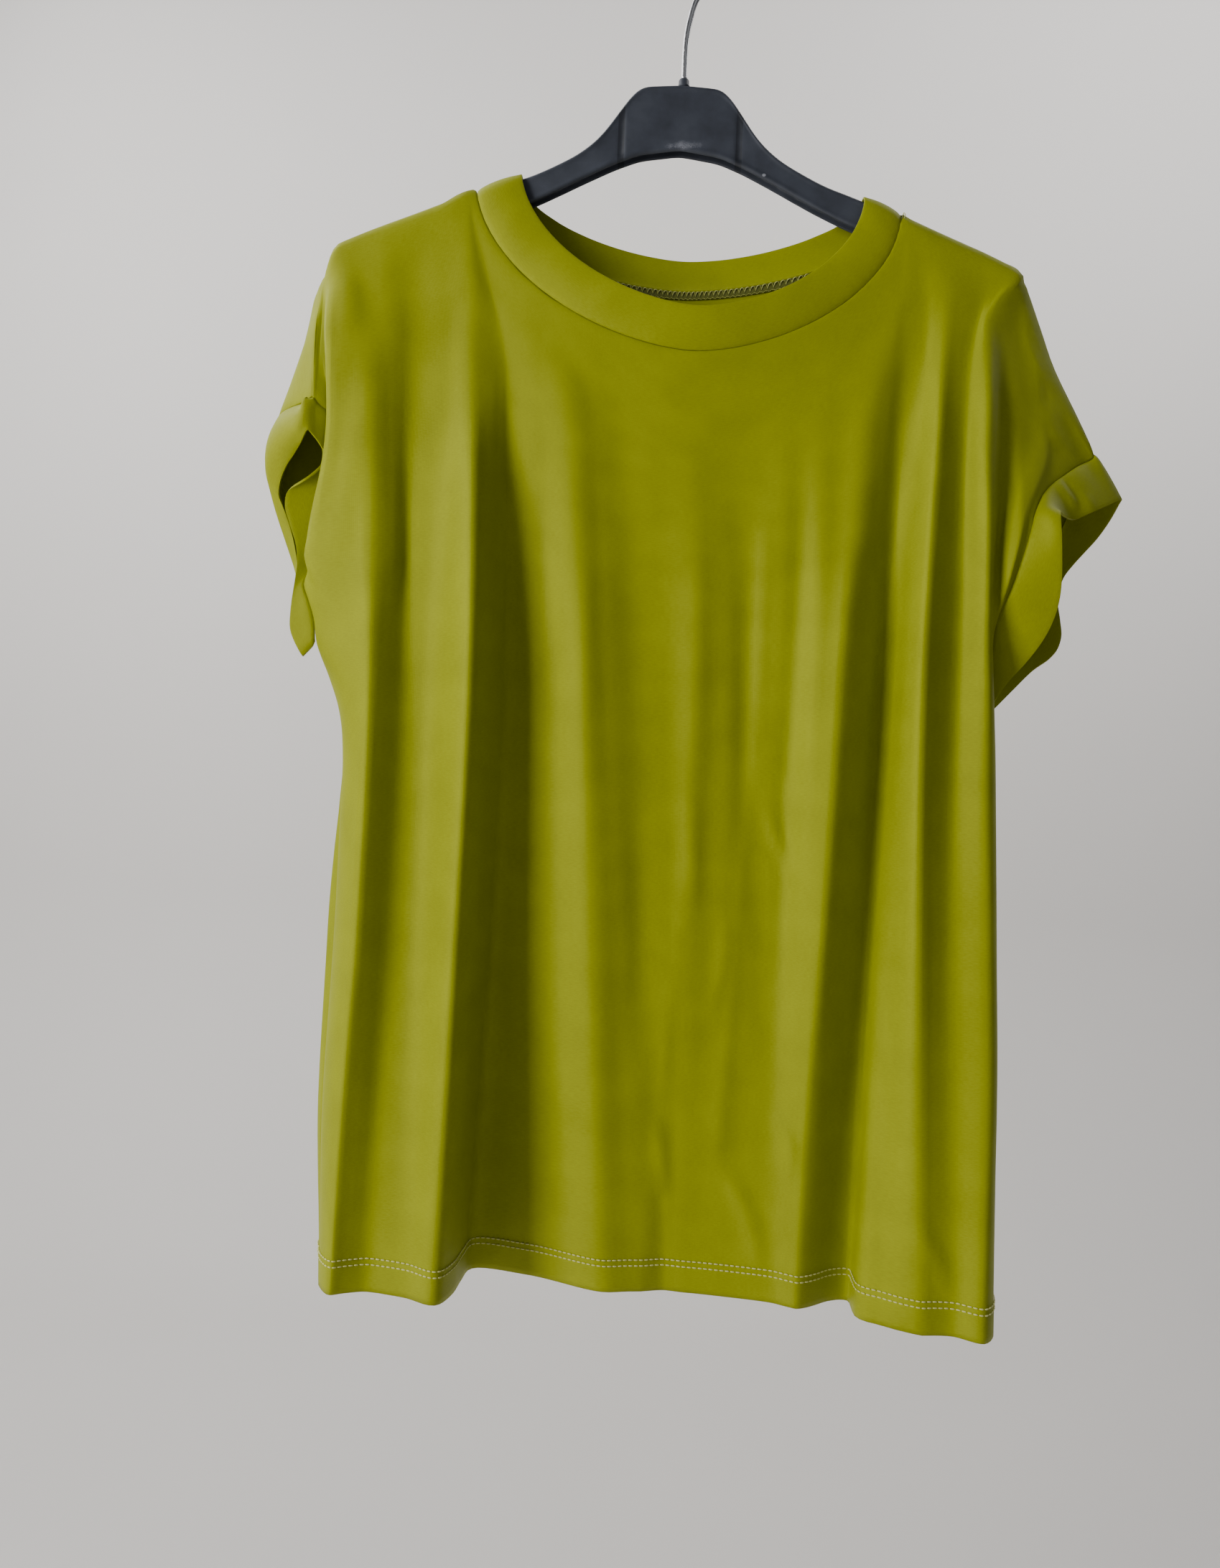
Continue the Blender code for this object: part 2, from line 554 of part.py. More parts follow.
def strip(seam, rim, crown, rows=4):
    """Grid from a seam loop to a rim loop, bowed by the crown in its middle.

    The crown is one height, or one for each point of the loops.
    """
    crown = np.reshape(crown, (-1, 1))
    share = np.linspace(0.0, 1.0, rows)[:, None, None]
    across = rim - seam
    out = unit(np.cross(np.roll(seam, -1, axis=0) - np.roll(seam, 1, axis=0), across))
    return seam + across * share + out * crown * 4 * share * (1 - share)


def loop(front, back):
    """One closed run round an opening: along the front's edge, and back along the back's."""
    return np.concatenate((front, back[::-1][1:-1]))


def halves(ring, count):
    """The front's and the back's part of a loop, count points being the front's."""
    return ring[:count], np.concatenate((ring[:1], ring[count:][::-1], ring[count - 1:count]))


def neck_rim(place, side):
    """Free upper edge of the neckband over the panel's columns at these places."""
    edge = BAND_FRONT if side < 0 else BAND_BACK
    x, y, drop, _ = neck_line(np.pi * (place - 2), edge, BAND_CENTRE, BAND_HALF)
    return np.stack((x, y, BAND_LIFT - drop), axis=-1)


def mouth(table):
    """Points of a cuff's mouth, one for each row of the panels that ends at the cuff."""
    table = np.array(table, dtype=float)
    points = np.stack([table_curve(table[:, 0], table[:, i], SLEEVE_ROWS) for i in (1, 2, 3)], axis=-1)
    points[:, 2] *= -1
    return points


def steps_in(grid, edge):
    """Directions in which a surface leaves its top, left or right edge.

    From a side they are level, to where the next column has the same height.
    """
    if edge == "top":
        return grid[1] - grid[0]
    start, inner = (grid[:, 0], grid[:, 1]) if edge == "left" else (grid[:, -1], grid[:, -2])
    level = np.stack([np.interp(-start[:, 2], -inner[:, 2], inner[:, i]) for i in range(3)], axis=-1)
    return np.where(start[:, 2:] > inner[-1, 2], level, inner) - start


def make_cloth(material):
    """Front, back, neckband and cuffs, each ending at the planes that halve its seams."""
    front, front_place = panel_grid(FRONT_FOLDS, FRONT_LEFT, FRONT_RIGHT, -1)
    back, back_place = panel_grid(BACK_FOLDS, BACK_LEFT, BACK_RIGHT, 1)
    grids = {"front": front, "back": back}
    places = {"front": front_place, "back": back_place}
    sleeve_rows = len(SLEEVE_ROWS)
    underarm = sleeve_rows - 1
    for column in (0, -1):
        back[underarm:, column] = front[underarm:, column]

    in_neck = {side: (places[side] >= 2) & (places[side] <= 3) for side in grids}
    rims = [neck_rim(places[side][in_neck[side]], sign) for side, sign in (("front", -1), ("back", 1))]
    neckband = strip(loop(front[0, in_neck["front"]], back[0, in_neck["back"]]), loop(*rims), BAND_CROWN)
    neck_count = np.count_nonzero(in_neck["front"])
    band_steps = dict(zip(grids, halves(steps_in(neckband, "top"), neck_count)))

    bow = np.sqrt(np.sin(np.linspace(0.0, np.pi, sleeve_rows)).clip(0.0))
    cuffs = {}
    cuff_steps = {}
    for edge, column, outwards in (("left", 0, -1), ("right", -1, 1)):
        seam = loop(front[:sleeve_rows, column], back[:sleeve_rows, column])
        crown = loop(*(outwards * height * bow for height in CUFF_CROWNS[edge]))
        cuffs[edge] = strip(seam, loop(*(mouth(table) for table in CUFF_MOUTHS[edge])), crown)
        cuff_steps[edge] = dict(zip(grids, halves(steps_in(cuffs[edge], "top"), sleeve_rows)))

    for side, other in (("front", "back"), ("back", "front")):
        grid = grids[side]
        top = np.stack([np.interp(places[side], places[other], steps_in(grids[other], "top")[:, i])
                        for i in range(3)], axis=-1)
        top[in_neck[side]] = band_steps[side]
        neck_corners = np.flatnonzero(np.isin(places[side], (2.0, 3.0)))
        seams = {"top": (top, dict.fromkeys(neck_corners, CORNER_GAP))}
        for edge in cuffs:
            partner = steps_in(grids[other], edge)
            partner[:sleeve_rows] = cuff_steps[edge][side]
            seams[edge] = (partner, {underarm: UNDERARM_GAP})
        wall(side, grid, JERSEY, material, seams)

    own = loop(*(steps_in(grids[side], "top")[in_neck[side]] for side in grids))
    wall("neckband", neckband, BAND, material, {"top": (own, {0: CORNER_GAP, neck_count - 1: CORNER_GAP})},
         ring=True)
    for edge, cuff in cuffs.items():
        own = loop(*(steps_in(grids[side], edge)[:sleeve_rows] for side in grids))
        wall(edge + "_cuff", cuff, BAND, material, {"top": (own, {0: CORNER_GAP, underarm: UNDERARM_GAP})},
             ring=True)


def make_hanger(material):
    """Plate and arms: a rounded section at each station of the outline."""
    table = np.array(HANGER)
    half = np.concatenate([np.linspace(*run) for run in HANGER_STATIONS])
    x = np.concatenate((-half[::-1], half[1:]))
    upper, lower = [np.interp(np.abs(x), table[:, 0], table[:, i]) - PLATE_DROP - HANGER_TILT * x
                    for i in (1, 2)]
    depth = np.interp(np.abs(x), *zip(*HANGER_DEPTHS)) / 2
    angle = (np.arange(HANGER_SIDES) + 0.5) * 2 * np.pi / HANGER_SIDES
    power = np.interp(np.abs(x), *zip(*HANGER_ROUNDING))[:, None]
    ring_y = np.sign(np.cos(angle)) * np.abs(np.cos(angle)) ** power
    ring_z = np.sign(np.sin(angle)) * np.abs(np.sin(angle)) ** power
    middle = (upper + lower) / 2
    tall = (upper - lower) / 2 / ring_z.max(axis=1)
    points = np.stack((np.repeat(x[:, None], HANGER_SIDES, axis=1), depth[:, None] * ring_y,
                       middle[:, None] + tall[:, None] * ring_z), axis=-1)
    index = np.arange(points.size // 3).reshape(len(x), HANGER_SIDES)
    turned = np.roll(index, -1, axis=1)
    faces = np.stack((index[:-1], turned[:-1], turned[1:], index[1:]), axis=-1).reshape(-1, 4).tolist()
    faces += [index[0].tolist(), index[-1][::-1].tolist()]
    return solid("hanger", points.reshape(-1, 3), faces, material)


def make_socket(material):
    """Short collar on the plate that holds the wire."""
    shape = bmesh.new()
    bmesh.ops.create_cone(shape, cap_ends=True, segments=SOCKET_SIDES, radius1=SOCKET_RADIUS * MM,
                          radius2=SOCKET_RADIUS * SOCKET_TAPER * MM, depth=SOCKET_HEIGHT * MM)
    mesh = bpy.data.meshes.new("hook_socket")
    shape.to_mesh(mesh)
    shape.free()
    mesh.shade_smooth()
    mesh.set_sharp_from_angle(angle=np.radians(SHARP_DEGREES))
    mesh.materials.append(material)
    obj = bpy.data.objects.new("hook_socket", mesh)
    obj.location = (STEM_X * MM, 0.0, (-PLATE_DROP + TOUCH + SOCKET_HEIGHT / 2) * MM)
    bpy.context.scene.collection.objects.link(obj)
    return obj


def make_hook(material):
    """Wire: a straight stem, a lean to the right, then a round crook that opens to the left."""
    crest = WIRE / 2 - HOOK_RADIUS
    foot = (STEM_X, -PLATE_DROP + SOCKET_HEIGHT + 2 * TOUCH)
    first, last, step = CROOK_DEGREES
    angles = np.radians(np.arange(first, last + step, step))
    arc = np.stack((HOOK_RADIUS * np.cos(angles), crest + HOOK_RADIUS * np.sin(angles)), axis=-1)
    route = np.concatenate(((foot, *HOOK_STEM), arc))
    steps = np.concatenate(([0.0], np.cumsum(np.linalg.norm(np.diff(route, axis=0), axis=1))))
    at = np.linspace(0.0, steps[-1], HOOK_POINTS)
    x, z = (smooth_weights(steps, at) @ route).T
    curve = bpy.data.curves.new("hook", "CURVE")
    curve.dimensions = "3D"
    curve.bevel_depth = WIRE / 2 * MM
    curve.bevel_resolution = 2
    curve.use_fill_caps = True
    spline = curve.splines.new("POLY")
    spline.points.add(len(at) - 1)
    for point, px, pz in zip(spline.points, x, z):
        point.co = (px * MM, 0.0, pz * MM, 1.0)
    curve.materials.append(material)
    obj = bpy.data.objects.new("hook", curve)
    bpy.context.scene.collection.objects.link(obj)
    return obj


def main():
    """The whole part, in an empty scene."""
    for obj in list(bpy.data.objects):
        bpy.data.objects.remove(obj, do_unlink=True)
    jersey = finish("jersey", (0.30, 0.29, 0.015), 0.8)
    plastic = finish("hanger_plastic", (0.018, 0.02, 0.027), 0.45)
    steel = finish("steel_wire", (0.62, 0.62, 0.63), 0.25, 1.0)
    make_cloth(jersey)
    make_hanger(plastic)
    make_socket(plastic)
    make_hook(steel)


main()
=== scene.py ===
# %% [markdown]
# # A knit top on its hanger
#
# The top is a loose tee of thin viscose jersey: a front and a back with cut-on sleeves, a doubled
# band round the wide neck, and a doubled cuff on each sleeve. It hangs on a dark plastic hanger.
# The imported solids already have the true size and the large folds. This script keeps them as a
# fixed frame and gives every piece its fine surface, stitches and finish. All lengths are metres.

import bmesh
import bpy
import numpy as np
from mathutils import Matrix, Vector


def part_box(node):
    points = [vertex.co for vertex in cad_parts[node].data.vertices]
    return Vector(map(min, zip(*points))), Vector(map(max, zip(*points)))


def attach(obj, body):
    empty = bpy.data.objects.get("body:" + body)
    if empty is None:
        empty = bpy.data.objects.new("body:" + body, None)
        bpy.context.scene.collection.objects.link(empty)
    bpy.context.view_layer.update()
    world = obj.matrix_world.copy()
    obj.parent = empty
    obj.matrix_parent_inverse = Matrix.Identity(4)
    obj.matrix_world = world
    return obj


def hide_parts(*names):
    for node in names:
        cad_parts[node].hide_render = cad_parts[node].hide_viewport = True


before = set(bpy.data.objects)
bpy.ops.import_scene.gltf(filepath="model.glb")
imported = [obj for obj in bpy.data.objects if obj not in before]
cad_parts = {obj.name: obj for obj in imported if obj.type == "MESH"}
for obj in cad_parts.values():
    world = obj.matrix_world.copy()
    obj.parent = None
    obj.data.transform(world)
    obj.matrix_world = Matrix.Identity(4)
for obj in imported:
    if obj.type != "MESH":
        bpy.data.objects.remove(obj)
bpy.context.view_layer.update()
MM = 0.001
print("solids:", sorted(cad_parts))

# %% [markdown]
# ## Camera
#
# The picture was taken by hand, about three quarters of a metre in front of the top and level with
# its middle, with a wide lens. It was held a little turned: it looks slightly to the left, and the
# whole scene leans to the right. The camera repeats that, so that the render lies on the photo.

# %% Camera
CAMERA_PLACE = (0.0035, -0.733, -0.519)
CAMERA_LENS = 28.0
CAMERA_PAN = np.radians(2.4)
CAMERA_ROLL = np.radians(2.2)


def add_object(name, data):
    """A new object in the scene."""
    made = bpy.data.objects.new(name, data)
    bpy.context.scene.collection.objects.link(made)
    return made


def make_camera():
    """Looks along +Y, panned to the left, then rolled about its own axis."""
    data = bpy.data.cameras.new("camera")
    data.lens = CAMERA_LENS
    data.sensor_width = 36.0
    camera = add_object("camera", data)
    camera.matrix_world = (Matrix.Translation(CAMERA_PLACE) @ Matrix.Rotation(CAMERA_PAN, 4, "Z")
                           @ Matrix.Rotation(np.pi / 2, 4, "X") @ Matrix.Rotation(CAMERA_ROLL, 4, "Z"))
    bpy.context.scene.camera = camera


make_camera()

# %% [markdown]
# ## Node materials
#
# Every finish is a Principled shader with a few nodes in front of it. A small helper adds a node and
# sets or links its sockets, so that a material reads as a short list.

# %% Nodes
def node(tree, kind, **inputs):
    """Adds a node. _x sets its property x, i2 its third input and any other name the input of that
    name. A value that is a socket is linked."""
    made = tree.nodes.new("ShaderNode" + kind)
    for name, value in inputs.items():
        if name.startswith("_"):
            setattr(made, name[1:], value)
            continue
        socket = made.inputs[int(name[1:]) if name[1:].isdigit() else name.replace("_", " ")]
        if isinstance(value, bpy.types.NodeSocket):
            tree.links.new(value, socket)
        else:
            socket.default_value = value
    return made


def new_material(name):
    """A material and its empty tree."""
    material = bpy.data.materials.new(name)
    material.use_nodes = True
    tree = material.node_tree
    tree.nodes.clear()
    return material, tree


# %% Sums, noise and colours
def times_plus(tree, a, b, c=0.0):
    """The output of a node that works out a * b + c."""
    return node(tree, "Math", _operation="MULTIPLY_ADD", i0=a, i1=b, i2=c).outputs[0]


def noise(tree, place, scale, detail, roughness=0.5):
    """The output of a noise node."""
    made = node(tree, "TexNoise", Vector=place, Scale=scale, Detail=detail, Roughness=roughness)
    return made.outputs["Fac"]


def finish_material(tree, **inputs):
    """Links a Principled shader with these inputs to the output."""
    node(tree, "OutputMaterial", Surface=node(tree, "BsdfPrincipled", **inputs).outputs[0])


def shaded(colour, factor):
    """A colour made darker or lighter."""
    return tuple(factor * c for c in colour)


def ramp(tree, factor, *stops):
    """A colour ramp: stops are place and colour."""
    made = node(tree, "ValToRGB", Fac=factor)
    elements = made.color_ramp.elements
    while len(elements) < len(stops):
        elements.new(0.5)
    for element, (place, colour) in zip(elements, stops):
        element.position = place
        element.color = (*colour, 1.0)
    return made.outputs["Color"]


# %% [markdown]
# ## The jersey
#
# Viscose jersey is a very fine plain knit, about sixteen wales to the centimetre. From a step away
# the loops do not show, but short darker and lighter streaks along the courses do, and a soft sheen
# lies on whatever turns to the light. The pattern follows the cloth, so it reads a UV map in metres,
# across the piece and down it.

# %% Jersey
GREEN = (0.318, 0.345, 0.010)
GREEN_DARK = (0.252, 0.274, 0.007)
SHEEN = (0.85, 0.88, 0.14, 1.0)
WALE = 0.62 * MM
COURSE = 0.5 * MM
STREAK = (2.6 * MM, 0.55 * MM)
# with this scale the wave texture makes one wave to a unit
ONE_WAVE = 0.314


def make_jersey(name):
    """Fine knit: streaks along the courses in colour, loops and streaks in the bump, soft sheen."""
    material, tree = new_material(name)
    cloth = node(tree, "UVMap", _uv_map="cloth").outputs["UV"]
    streak = node(tree, "Mapping", Vector=cloth, Scale=(1 / STREAK[0], 1 / STREAK[1], 1.0))
    streaks = noise(tree, streak.outputs[0], 1.0, 3.0, 0.6)
    patch = noise(tree, cloth, 38.0, 2.0)
    mixed = times_plus(tree, patch, 0.38, times_plus(tree, streaks, 0.62))
    colour = ramp(tree, mixed, (0.34, GREEN_DARK), (0.62, GREEN))
    loops = node(tree, "Mapping", Vector=cloth, Scale=(1 / WALE, 1 / COURSE, 1.0))
    wales = node(tree, "TexWave", Vector=loops.outputs[0], Scale=ONE_WAVE, _bands_direction="X")
    courses = node(tree, "TexWave", Vector=loops.outputs[0], Scale=ONE_WAVE, _bands_direction="Y")
    knit = times_plus(tree, wales.outputs["Fac"], courses.outputs["Fac"])
    relief = times_plus(tree, streaks, 1.2, knit)
    bump = node(tree, "Bump", Strength=0.35, Distance=0.12 * MM, Height=relief)
    finish_material(tree, Base_Color=colour, Roughness=0.56, Normal=bump.outputs[0],
                    Specular_IOR_Level=0.7, Specular_Tint=SHEEN,
                    Sheen_Weight=0.05, Sheen_Roughness=0.4, Sheen_Tint=SHEEN)
    return material


jersey = make_jersey("jersey_knit")

# %% [markdown]
# ## Reading a wall back from its solid
#
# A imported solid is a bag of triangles, but each cloth wall was made as a grid of rows and columns
# with two skins. The grid can be found again. The row of a point is the number of edges between it
# and the first row. Along one row the edges close into a run that goes out on one skin and back on
# the other, and folding that run in half, where its halves lie nearest to each other, pairs the
# skins. The middle of each pair is a point of the middle surface, which is what we want to dress.

# %% Points, edges and closed runs
MERGE_NEAR = 0.01 * MM


def merged(name):
    """Points of a solid without repeats, and its edges as pairs of point numbers."""
    shape = bmesh.new()
    shape.from_mesh(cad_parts[name].data)
    bmesh.ops.remove_doubles(shape, verts=shape.verts, dist=MERGE_NEAR)
    points = np.array([v.co for v in shape.verts])
    edges = np.array([[v.index for v in e.verts] for e in shape.edges])
    shape.free()
    return points, edges


def steps_from(start, edges, count):
    """For each point, the fewest edges that lead to it from the points numbered in start."""
    far = np.where(np.isin(np.arange(count), start), 0, count)
    while True:
        near = far.copy()
        np.minimum.at(near, edges[:, 0], far[edges[:, 1]] + 1)
        np.minimum.at(near, edges[:, 1], far[edges[:, 0]] + 1)
        if (near == far).all():
            return far
        far = near


def closed_runs(pairs):
    """The closed runs of point numbers that edges make which meet two at a point."""
    links = {}
    for a, b in pairs.tolist():
        links.setdefault(a, []).append(b)
        links.setdefault(b, []).append(a)
    runs = []
    while links:
        run = [next(iter(links))]
        ahead = links.pop(run[0])
        while any(p in links for p in ahead):
            run.append(next(p for p in ahead if p in links))
            ahead = links.pop(run[-1])
        runs.append(np.array(run))
    return runs


# %% [markdown]
# A run can start anywhere and go either way round, so each one is turned to face its neighbour. The
# end rows of a wall have their two skins joined, and their points are shared out by direction.

# %% Facing points
def nearest_turn(run, target, points):
    """A closed run, turned and flipped so that its points lie nearest to the target's."""
    turns = (np.arange(len(run))[:, None] + np.arange(len(run))) % len(run)
    options = np.concatenate((run[turns], run[::-1][turns]))
    return options[((points[options] - target) ** 2).sum(axis=(1, 2)).argmin()]


def folded(run, points):
    """A run that goes out on one skin and back on the other, as two rows of facing points."""
    count = len(run)
    mirror = (np.arange(count)[:, None] - np.arange(count)) % count
    best = ((points[run[mirror]] - points[run]) ** 2).sum(axis=(1, 2)).argmin()
    first = (best + 1) // 2 + np.arange(count // 2)
    return np.stack((run[first % count], run[(best - first) % count]))


def end_row(numbers, near, column, middles, points, edges):
    """Middle points of an end row, whose two skins are joined: each point goes to the column
    that it is linked to and that runs on towards it most nearly."""
    first, second = middles
    step = first - second
    best = np.full(len(points), np.inf)
    chosen = np.full(len(points), -1)
    for a, b in np.concatenate((edges, edges[:, ::-1])):
        if a in numbers and b in near:
            c = column[b]
            reach = np.linalg.norm(points[a] - first[c]) / np.linalg.norm(step[c])
            off = np.linalg.norm(points[a] - first[c] - step[c] * reach)
            if off < best[a]:
                best[a], chosen[a] = off, c
    picked = np.array(sorted(numbers))
    counts = np.bincount(chosen[picked], minlength=len(first))
    total = np.zeros_like(first)
    np.add.at(total, chosen[picked], points[picked])
    run_on = first + step * np.median(np.linalg.norm(points[picked] - first[chosen[picked]], axis=1)
                                      / np.linalg.norm(step[chosen[picked]], axis=1))
    return np.where(counts[:, None] > 0, total / np.maximum(counts, 1)[:, None], run_on)


# %% [markdown]
# A panel is read from its hem upwards, and a band from its seam outwards.

# %% Middle surfaces
def read_wall(name, start, ring):
    """Middle surface of a cloth solid, rows by columns by (x, y, z).

    start tells which of its points make the first row. A ring's columns go all the way round.
    """
    points, edges = merged(name)
    row = steps_from(np.flatnonzero(start(points)), edges, len(points))
    last = row.max()
    skins = []
    for r in range(1, last):
        runs = closed_runs(edges[(row[edges] == r).all(axis=1)])
        pair = np.stack(runs) if ring else folded(runs[0], points)
        if ring and skins:
            pair[0] = nearest_turn(pair[0], points[skins[-1]].mean(axis=0), points)
        if ring:
            pair[1] = nearest_turn(pair[1], points[pair[0]], points)
        elif points[pair[0, 0], 0] > points[pair[0, -1], 0]:
            pair = pair[:, ::-1]
        skins.append(pair)
    rows = [points[pair].mean(axis=0) for pair in skins]
    ends = []
    for end, near, far in ((0, 0, 1), (last, -1, -2)):
        column = np.full(len(points), -1)
        column[skins[near]] = np.arange(skins[near].shape[1])
        numbers = set(np.flatnonzero(row == end).tolist())
        inner = set(skins[near].ravel().tolist())
        ends.append(end_row(numbers, inner, column, (rows[near], rows[far]), points, edges))
    return np.stack([ends[0], *rows, ends[1]])


HEM_NEAR = 1.0 * MM
SEAM_NEAR = {"neckband": 2.8 * MM, "left_cuff": 2.8 * MM, "right_cuff": 3.5 * MM}


def hem_points(points):
    """The lowest points of a panel."""
    return points[:, 2] < points[:, 2].min() + HEM_NEAR


panels = {name: read_wall(name, hem_points, ring=False)[::-1] for name in ("front", "back")}
panel_points = np.concatenate([merged(name)[0] for name in panels])


def seam_points(points, near):
    """The points of a band that lie at its seam with the panels."""
    return np.linalg.norm(points[:, None] - panel_points[None], axis=-1).min(axis=1) < near


bands = {name: read_wall(name, lambda points: seam_points(points, near), ring=True)
         for name, near in SEAM_NEAR.items()}
for name, grid in (*panels.items(), *bands.items()):
    print(name, "rows and columns:", grid.shape[:2])

# %% [markdown]
# ## Smooth cloth on the grid
#
# The grid has a point every centimetre or two. The cloth between them is a smooth surface: along the
# rows, and then down the columns, it runs through the grid's points on cubic curves whose slope at
# each point comes from its neighbours. A place on the cloth is two lengths: metres across and metres
# down.

# %% Curves
def curve_weights(knots, at):
    """Weights of the knots' values at the places at, on a curve of cubic pieces.

    On each piece, with t from 0 to 1, it is (1+2t)(1-t)^2 of the start, t^2(3-2t) of the end, and
    t(1-t)^2 and t^2(t-1) of the slopes there, which are those of parabolas through three knots.
    """
    one = np.eye(len(knots))
    slope = np.gradient(one, knots, axis=0)
    at = np.clip(at, knots[0], knots[-1])
    k = np.clip(np.searchsorted(knots, at, side="right") - 1, 0, len(knots) - 2)
    step = (knots[k + 1] - knots[k])[:, None]
    t = (at - knots[k])[:, None] / step
    start = (1 + 2 * t) * (1 - t) ** 2 * one[k] + t * (1 - t) ** 2 * step * slope[k]
    return start + t * t * (3 - 2 * t) * one[k + 1] + t * t * (t - 1) * step * slope[k + 1]


# %% Sheets
WRAP = 3


class Cloth:
    """A smooth sheet through a grid. across and down are its lengths in metres, from its first point."""

    def __init__(self, grid, ring=False):
        self.ring = ring
        steps = np.linalg.norm(np.diff(grid, axis=0), axis=-1).mean(axis=1)
        self.down = np.concatenate(([0.0], np.cumsum(steps)))
        closed = np.concatenate((grid, grid[:, :1]), axis=1) if ring else grid
        steps = np.linalg.norm(np.diff(closed, axis=1), axis=-1).mean(axis=0)
        self.across = np.concatenate(([0.0], np.cumsum(steps)))
        self.long, self.wide = self.down[-1], self.across[-1]
        self.grid = grid

    def at(self, down, across):
        """Points of the sheet at each of the lengths down by each of the lengths across."""
        rows = curve_weights(self.down, down)
        knots, grid = self.across, self.grid
        if self.ring:
            count = len(knots) - 1
            around = np.arange(-WRAP, count + WRAP + 1)
            knots = self.across[around % count] + (around // count) * self.wide
            grid = grid[:, around % count]
            across = np.mod(across, self.wide)
        return np.einsum("ri,ijk,cj->rck", rows, grid, curve_weights(knots, across))


# %% [markdown]
# A dressed piece is a fine grid of points on its sheet, made into faces with a UV map in metres. Its
# thickness is added by a modifier, half to each side.

# %% Directions and lengths
def unit(vectors):
    """The vectors at length one."""
    return vectors / np.linalg.norm(vectors, axis=-1, keepdims=True)


def outward(points, ring):
    """Unit normals of a grid of points, by the slopes along its two directions."""
    if ring:
        along = np.roll(points, -1, axis=1) - np.roll(points, 1, axis=1)
    else:
        along = np.gradient(points, axis=1)
    return unit(np.cross(along, np.gradient(points, axis=0)))


EDGE_ENDS = (0.0, 0.5, 1.1, 1.9, 3.2)


def graded(length, step):
    """Lengths from 0 to length: close together over the first few millimetres, then step apart."""
    start = np.array(EDGE_ENDS) * MM
    count = int(np.ceil((length - start[-1]) / step))
    return np.concatenate((start, np.linspace(start[-1], length, count + 1)[1:]))


def cloth_uv(down, across):
    """UV of a grid in metres: across the piece, and down it as minus the length."""
    return np.stack(np.broadcast_arrays(across[None, :], -down[:, None]), axis=-1)


# %% Grids as objects
def add_mesh(name, points, faces, material):
    """An object with these points and faces, shaded smooth."""
    mesh = bpy.data.meshes.new(name)
    mesh.from_pydata(points, [], faces)
    mesh.shade_smooth()
    mesh.materials.append(material)
    return add_object(name, mesh)


def add_grid(name, points, uv, material, ring=False):
    """An object with one face for each cell of a grid of points, and a UV map in metres."""
    rows, cols = points.shape[:2]
    index = np.arange(rows * cols).reshape(rows, cols)
    right = np.roll(index, -1, axis=1) if ring else index[:, 1:]
    left = index if ring else index[:, :-1]
    faces = np.stack((left[:-1], right[:-1], right[1:], left[1:]), axis=-1).reshape(-1, 4)
    piece = add_mesh(name, points.reshape(-1, 3), faces.tolist(), material)
    layer = piece.data.uv_layers.new(name="cloth")
    corner = uv.reshape(-1, 2)[faces]
    if ring:
        turn = uv[0, -1, 0] + (uv[0, 1, 0] - uv[0, 0, 0])
        corner[..., 0] += np.where(corner[..., 0] < corner[:, :1, 0] - turn / 2, turn, 0.0)
    layer.data.foreach_set("uv", corner.astype(np.float32).ravel())
    print(name, "points down and across:", rows, cols)
    return piece


def thicken(piece, thickness):
    """Gives a sheet its thickness, half to each side."""
    solid = piece.modifiers.new("thickness", "SOLIDIFY")
    solid.thickness = thickness
    solid.offset = 0.0
    return piece


# %% [markdown]
# ## Ridges and soft creases
#
# Soft jersey hangs in round valleys, but each ridge between two of them is narrow, and one of its
# flanks is steeper than the other. The solids have the folds with round ridges. A ridge here is a
# line down the cloth that lifts it, with a width of its own on either side.
#
# Between its large folds the jersey has weaker ones: long shallow waves that run down from the
# shoulders and the neck, and short slanting creases from how it was folded and carried. Each is one
# row of a table. It moves the cloth forwards or backwards, so that it fades by itself on the flanks
# of the large folds.

# %% Ridges
# points of the line as drop and x, height, width of the left flank and of the right one, all in mm
FRONT_RIDGES = (
    (((250, -178), (290, -175), (370, -171), (450, -168), (620, -169), (700, -173), (880, -176)),
     3.4, 9, 6),
    (((290, -115), (370, -109), (450, -106), (530, -107), (620, -109), (700, -109), (880, -110)),
     5.0, 24, 5),
    (((370, -45), (450, -43), (530, -40), (610, -37), (700, -29), (880, -13)), 3.2, 24, 30),
    (((360, 20), (450, 22), (610, 17), (700, 10), (880, 0)), 1.6, 14, 14),
    (((330, 60), (450, 58), (610, 51), (760, 44)), 2.4, 14, 8),
    (((360, 109), (440, 104), (530, 102), (610, 99), (690, 95), (880, 92)), 4.2, 22, 6),
    (((240, 148), (280, 154), (360, 151), (440, 150), (520, 149), (610, 152), (690, 155), (880, 163)),
     3.6, 15, 8),
    (((240, 188), (280, 187), (360, 185), (440, 187), (520, 192), (600, 196), (690, 199), (880, 203)),
     3.4, 15, 4),
    (((230, 197), (300, 202), (350, 203), (400, 200), (450, 196)), 4.5, 7, 18),
    (((235, 191), (300, 191), (380, 191), (460, 192)), -2.6, 2.5, 2.5),
    (((205, -206), (250, -207), (310, -206)), 2.4, 5, 2),
    (((215, -216), (250, -216), (300, -216)), -1.8, 2, 2),
)
BACK_RIDGES = (
    (((300, -128), (450, -122), (600, -126), (880, -131)), 2.6, 9, 15),
    (((320, -46), (480, -40), (640, -44), (880, -52)), 2.4, 9, 16),
    (((330, 40), (500, 44), (660, 38), (880, 43)), 2.4, 9, 16),
    (((290, 128), (440, 122), (620, 126), (880, 134)), 2.6, 9, 15),
)
RIDGE_START = 60 * MM
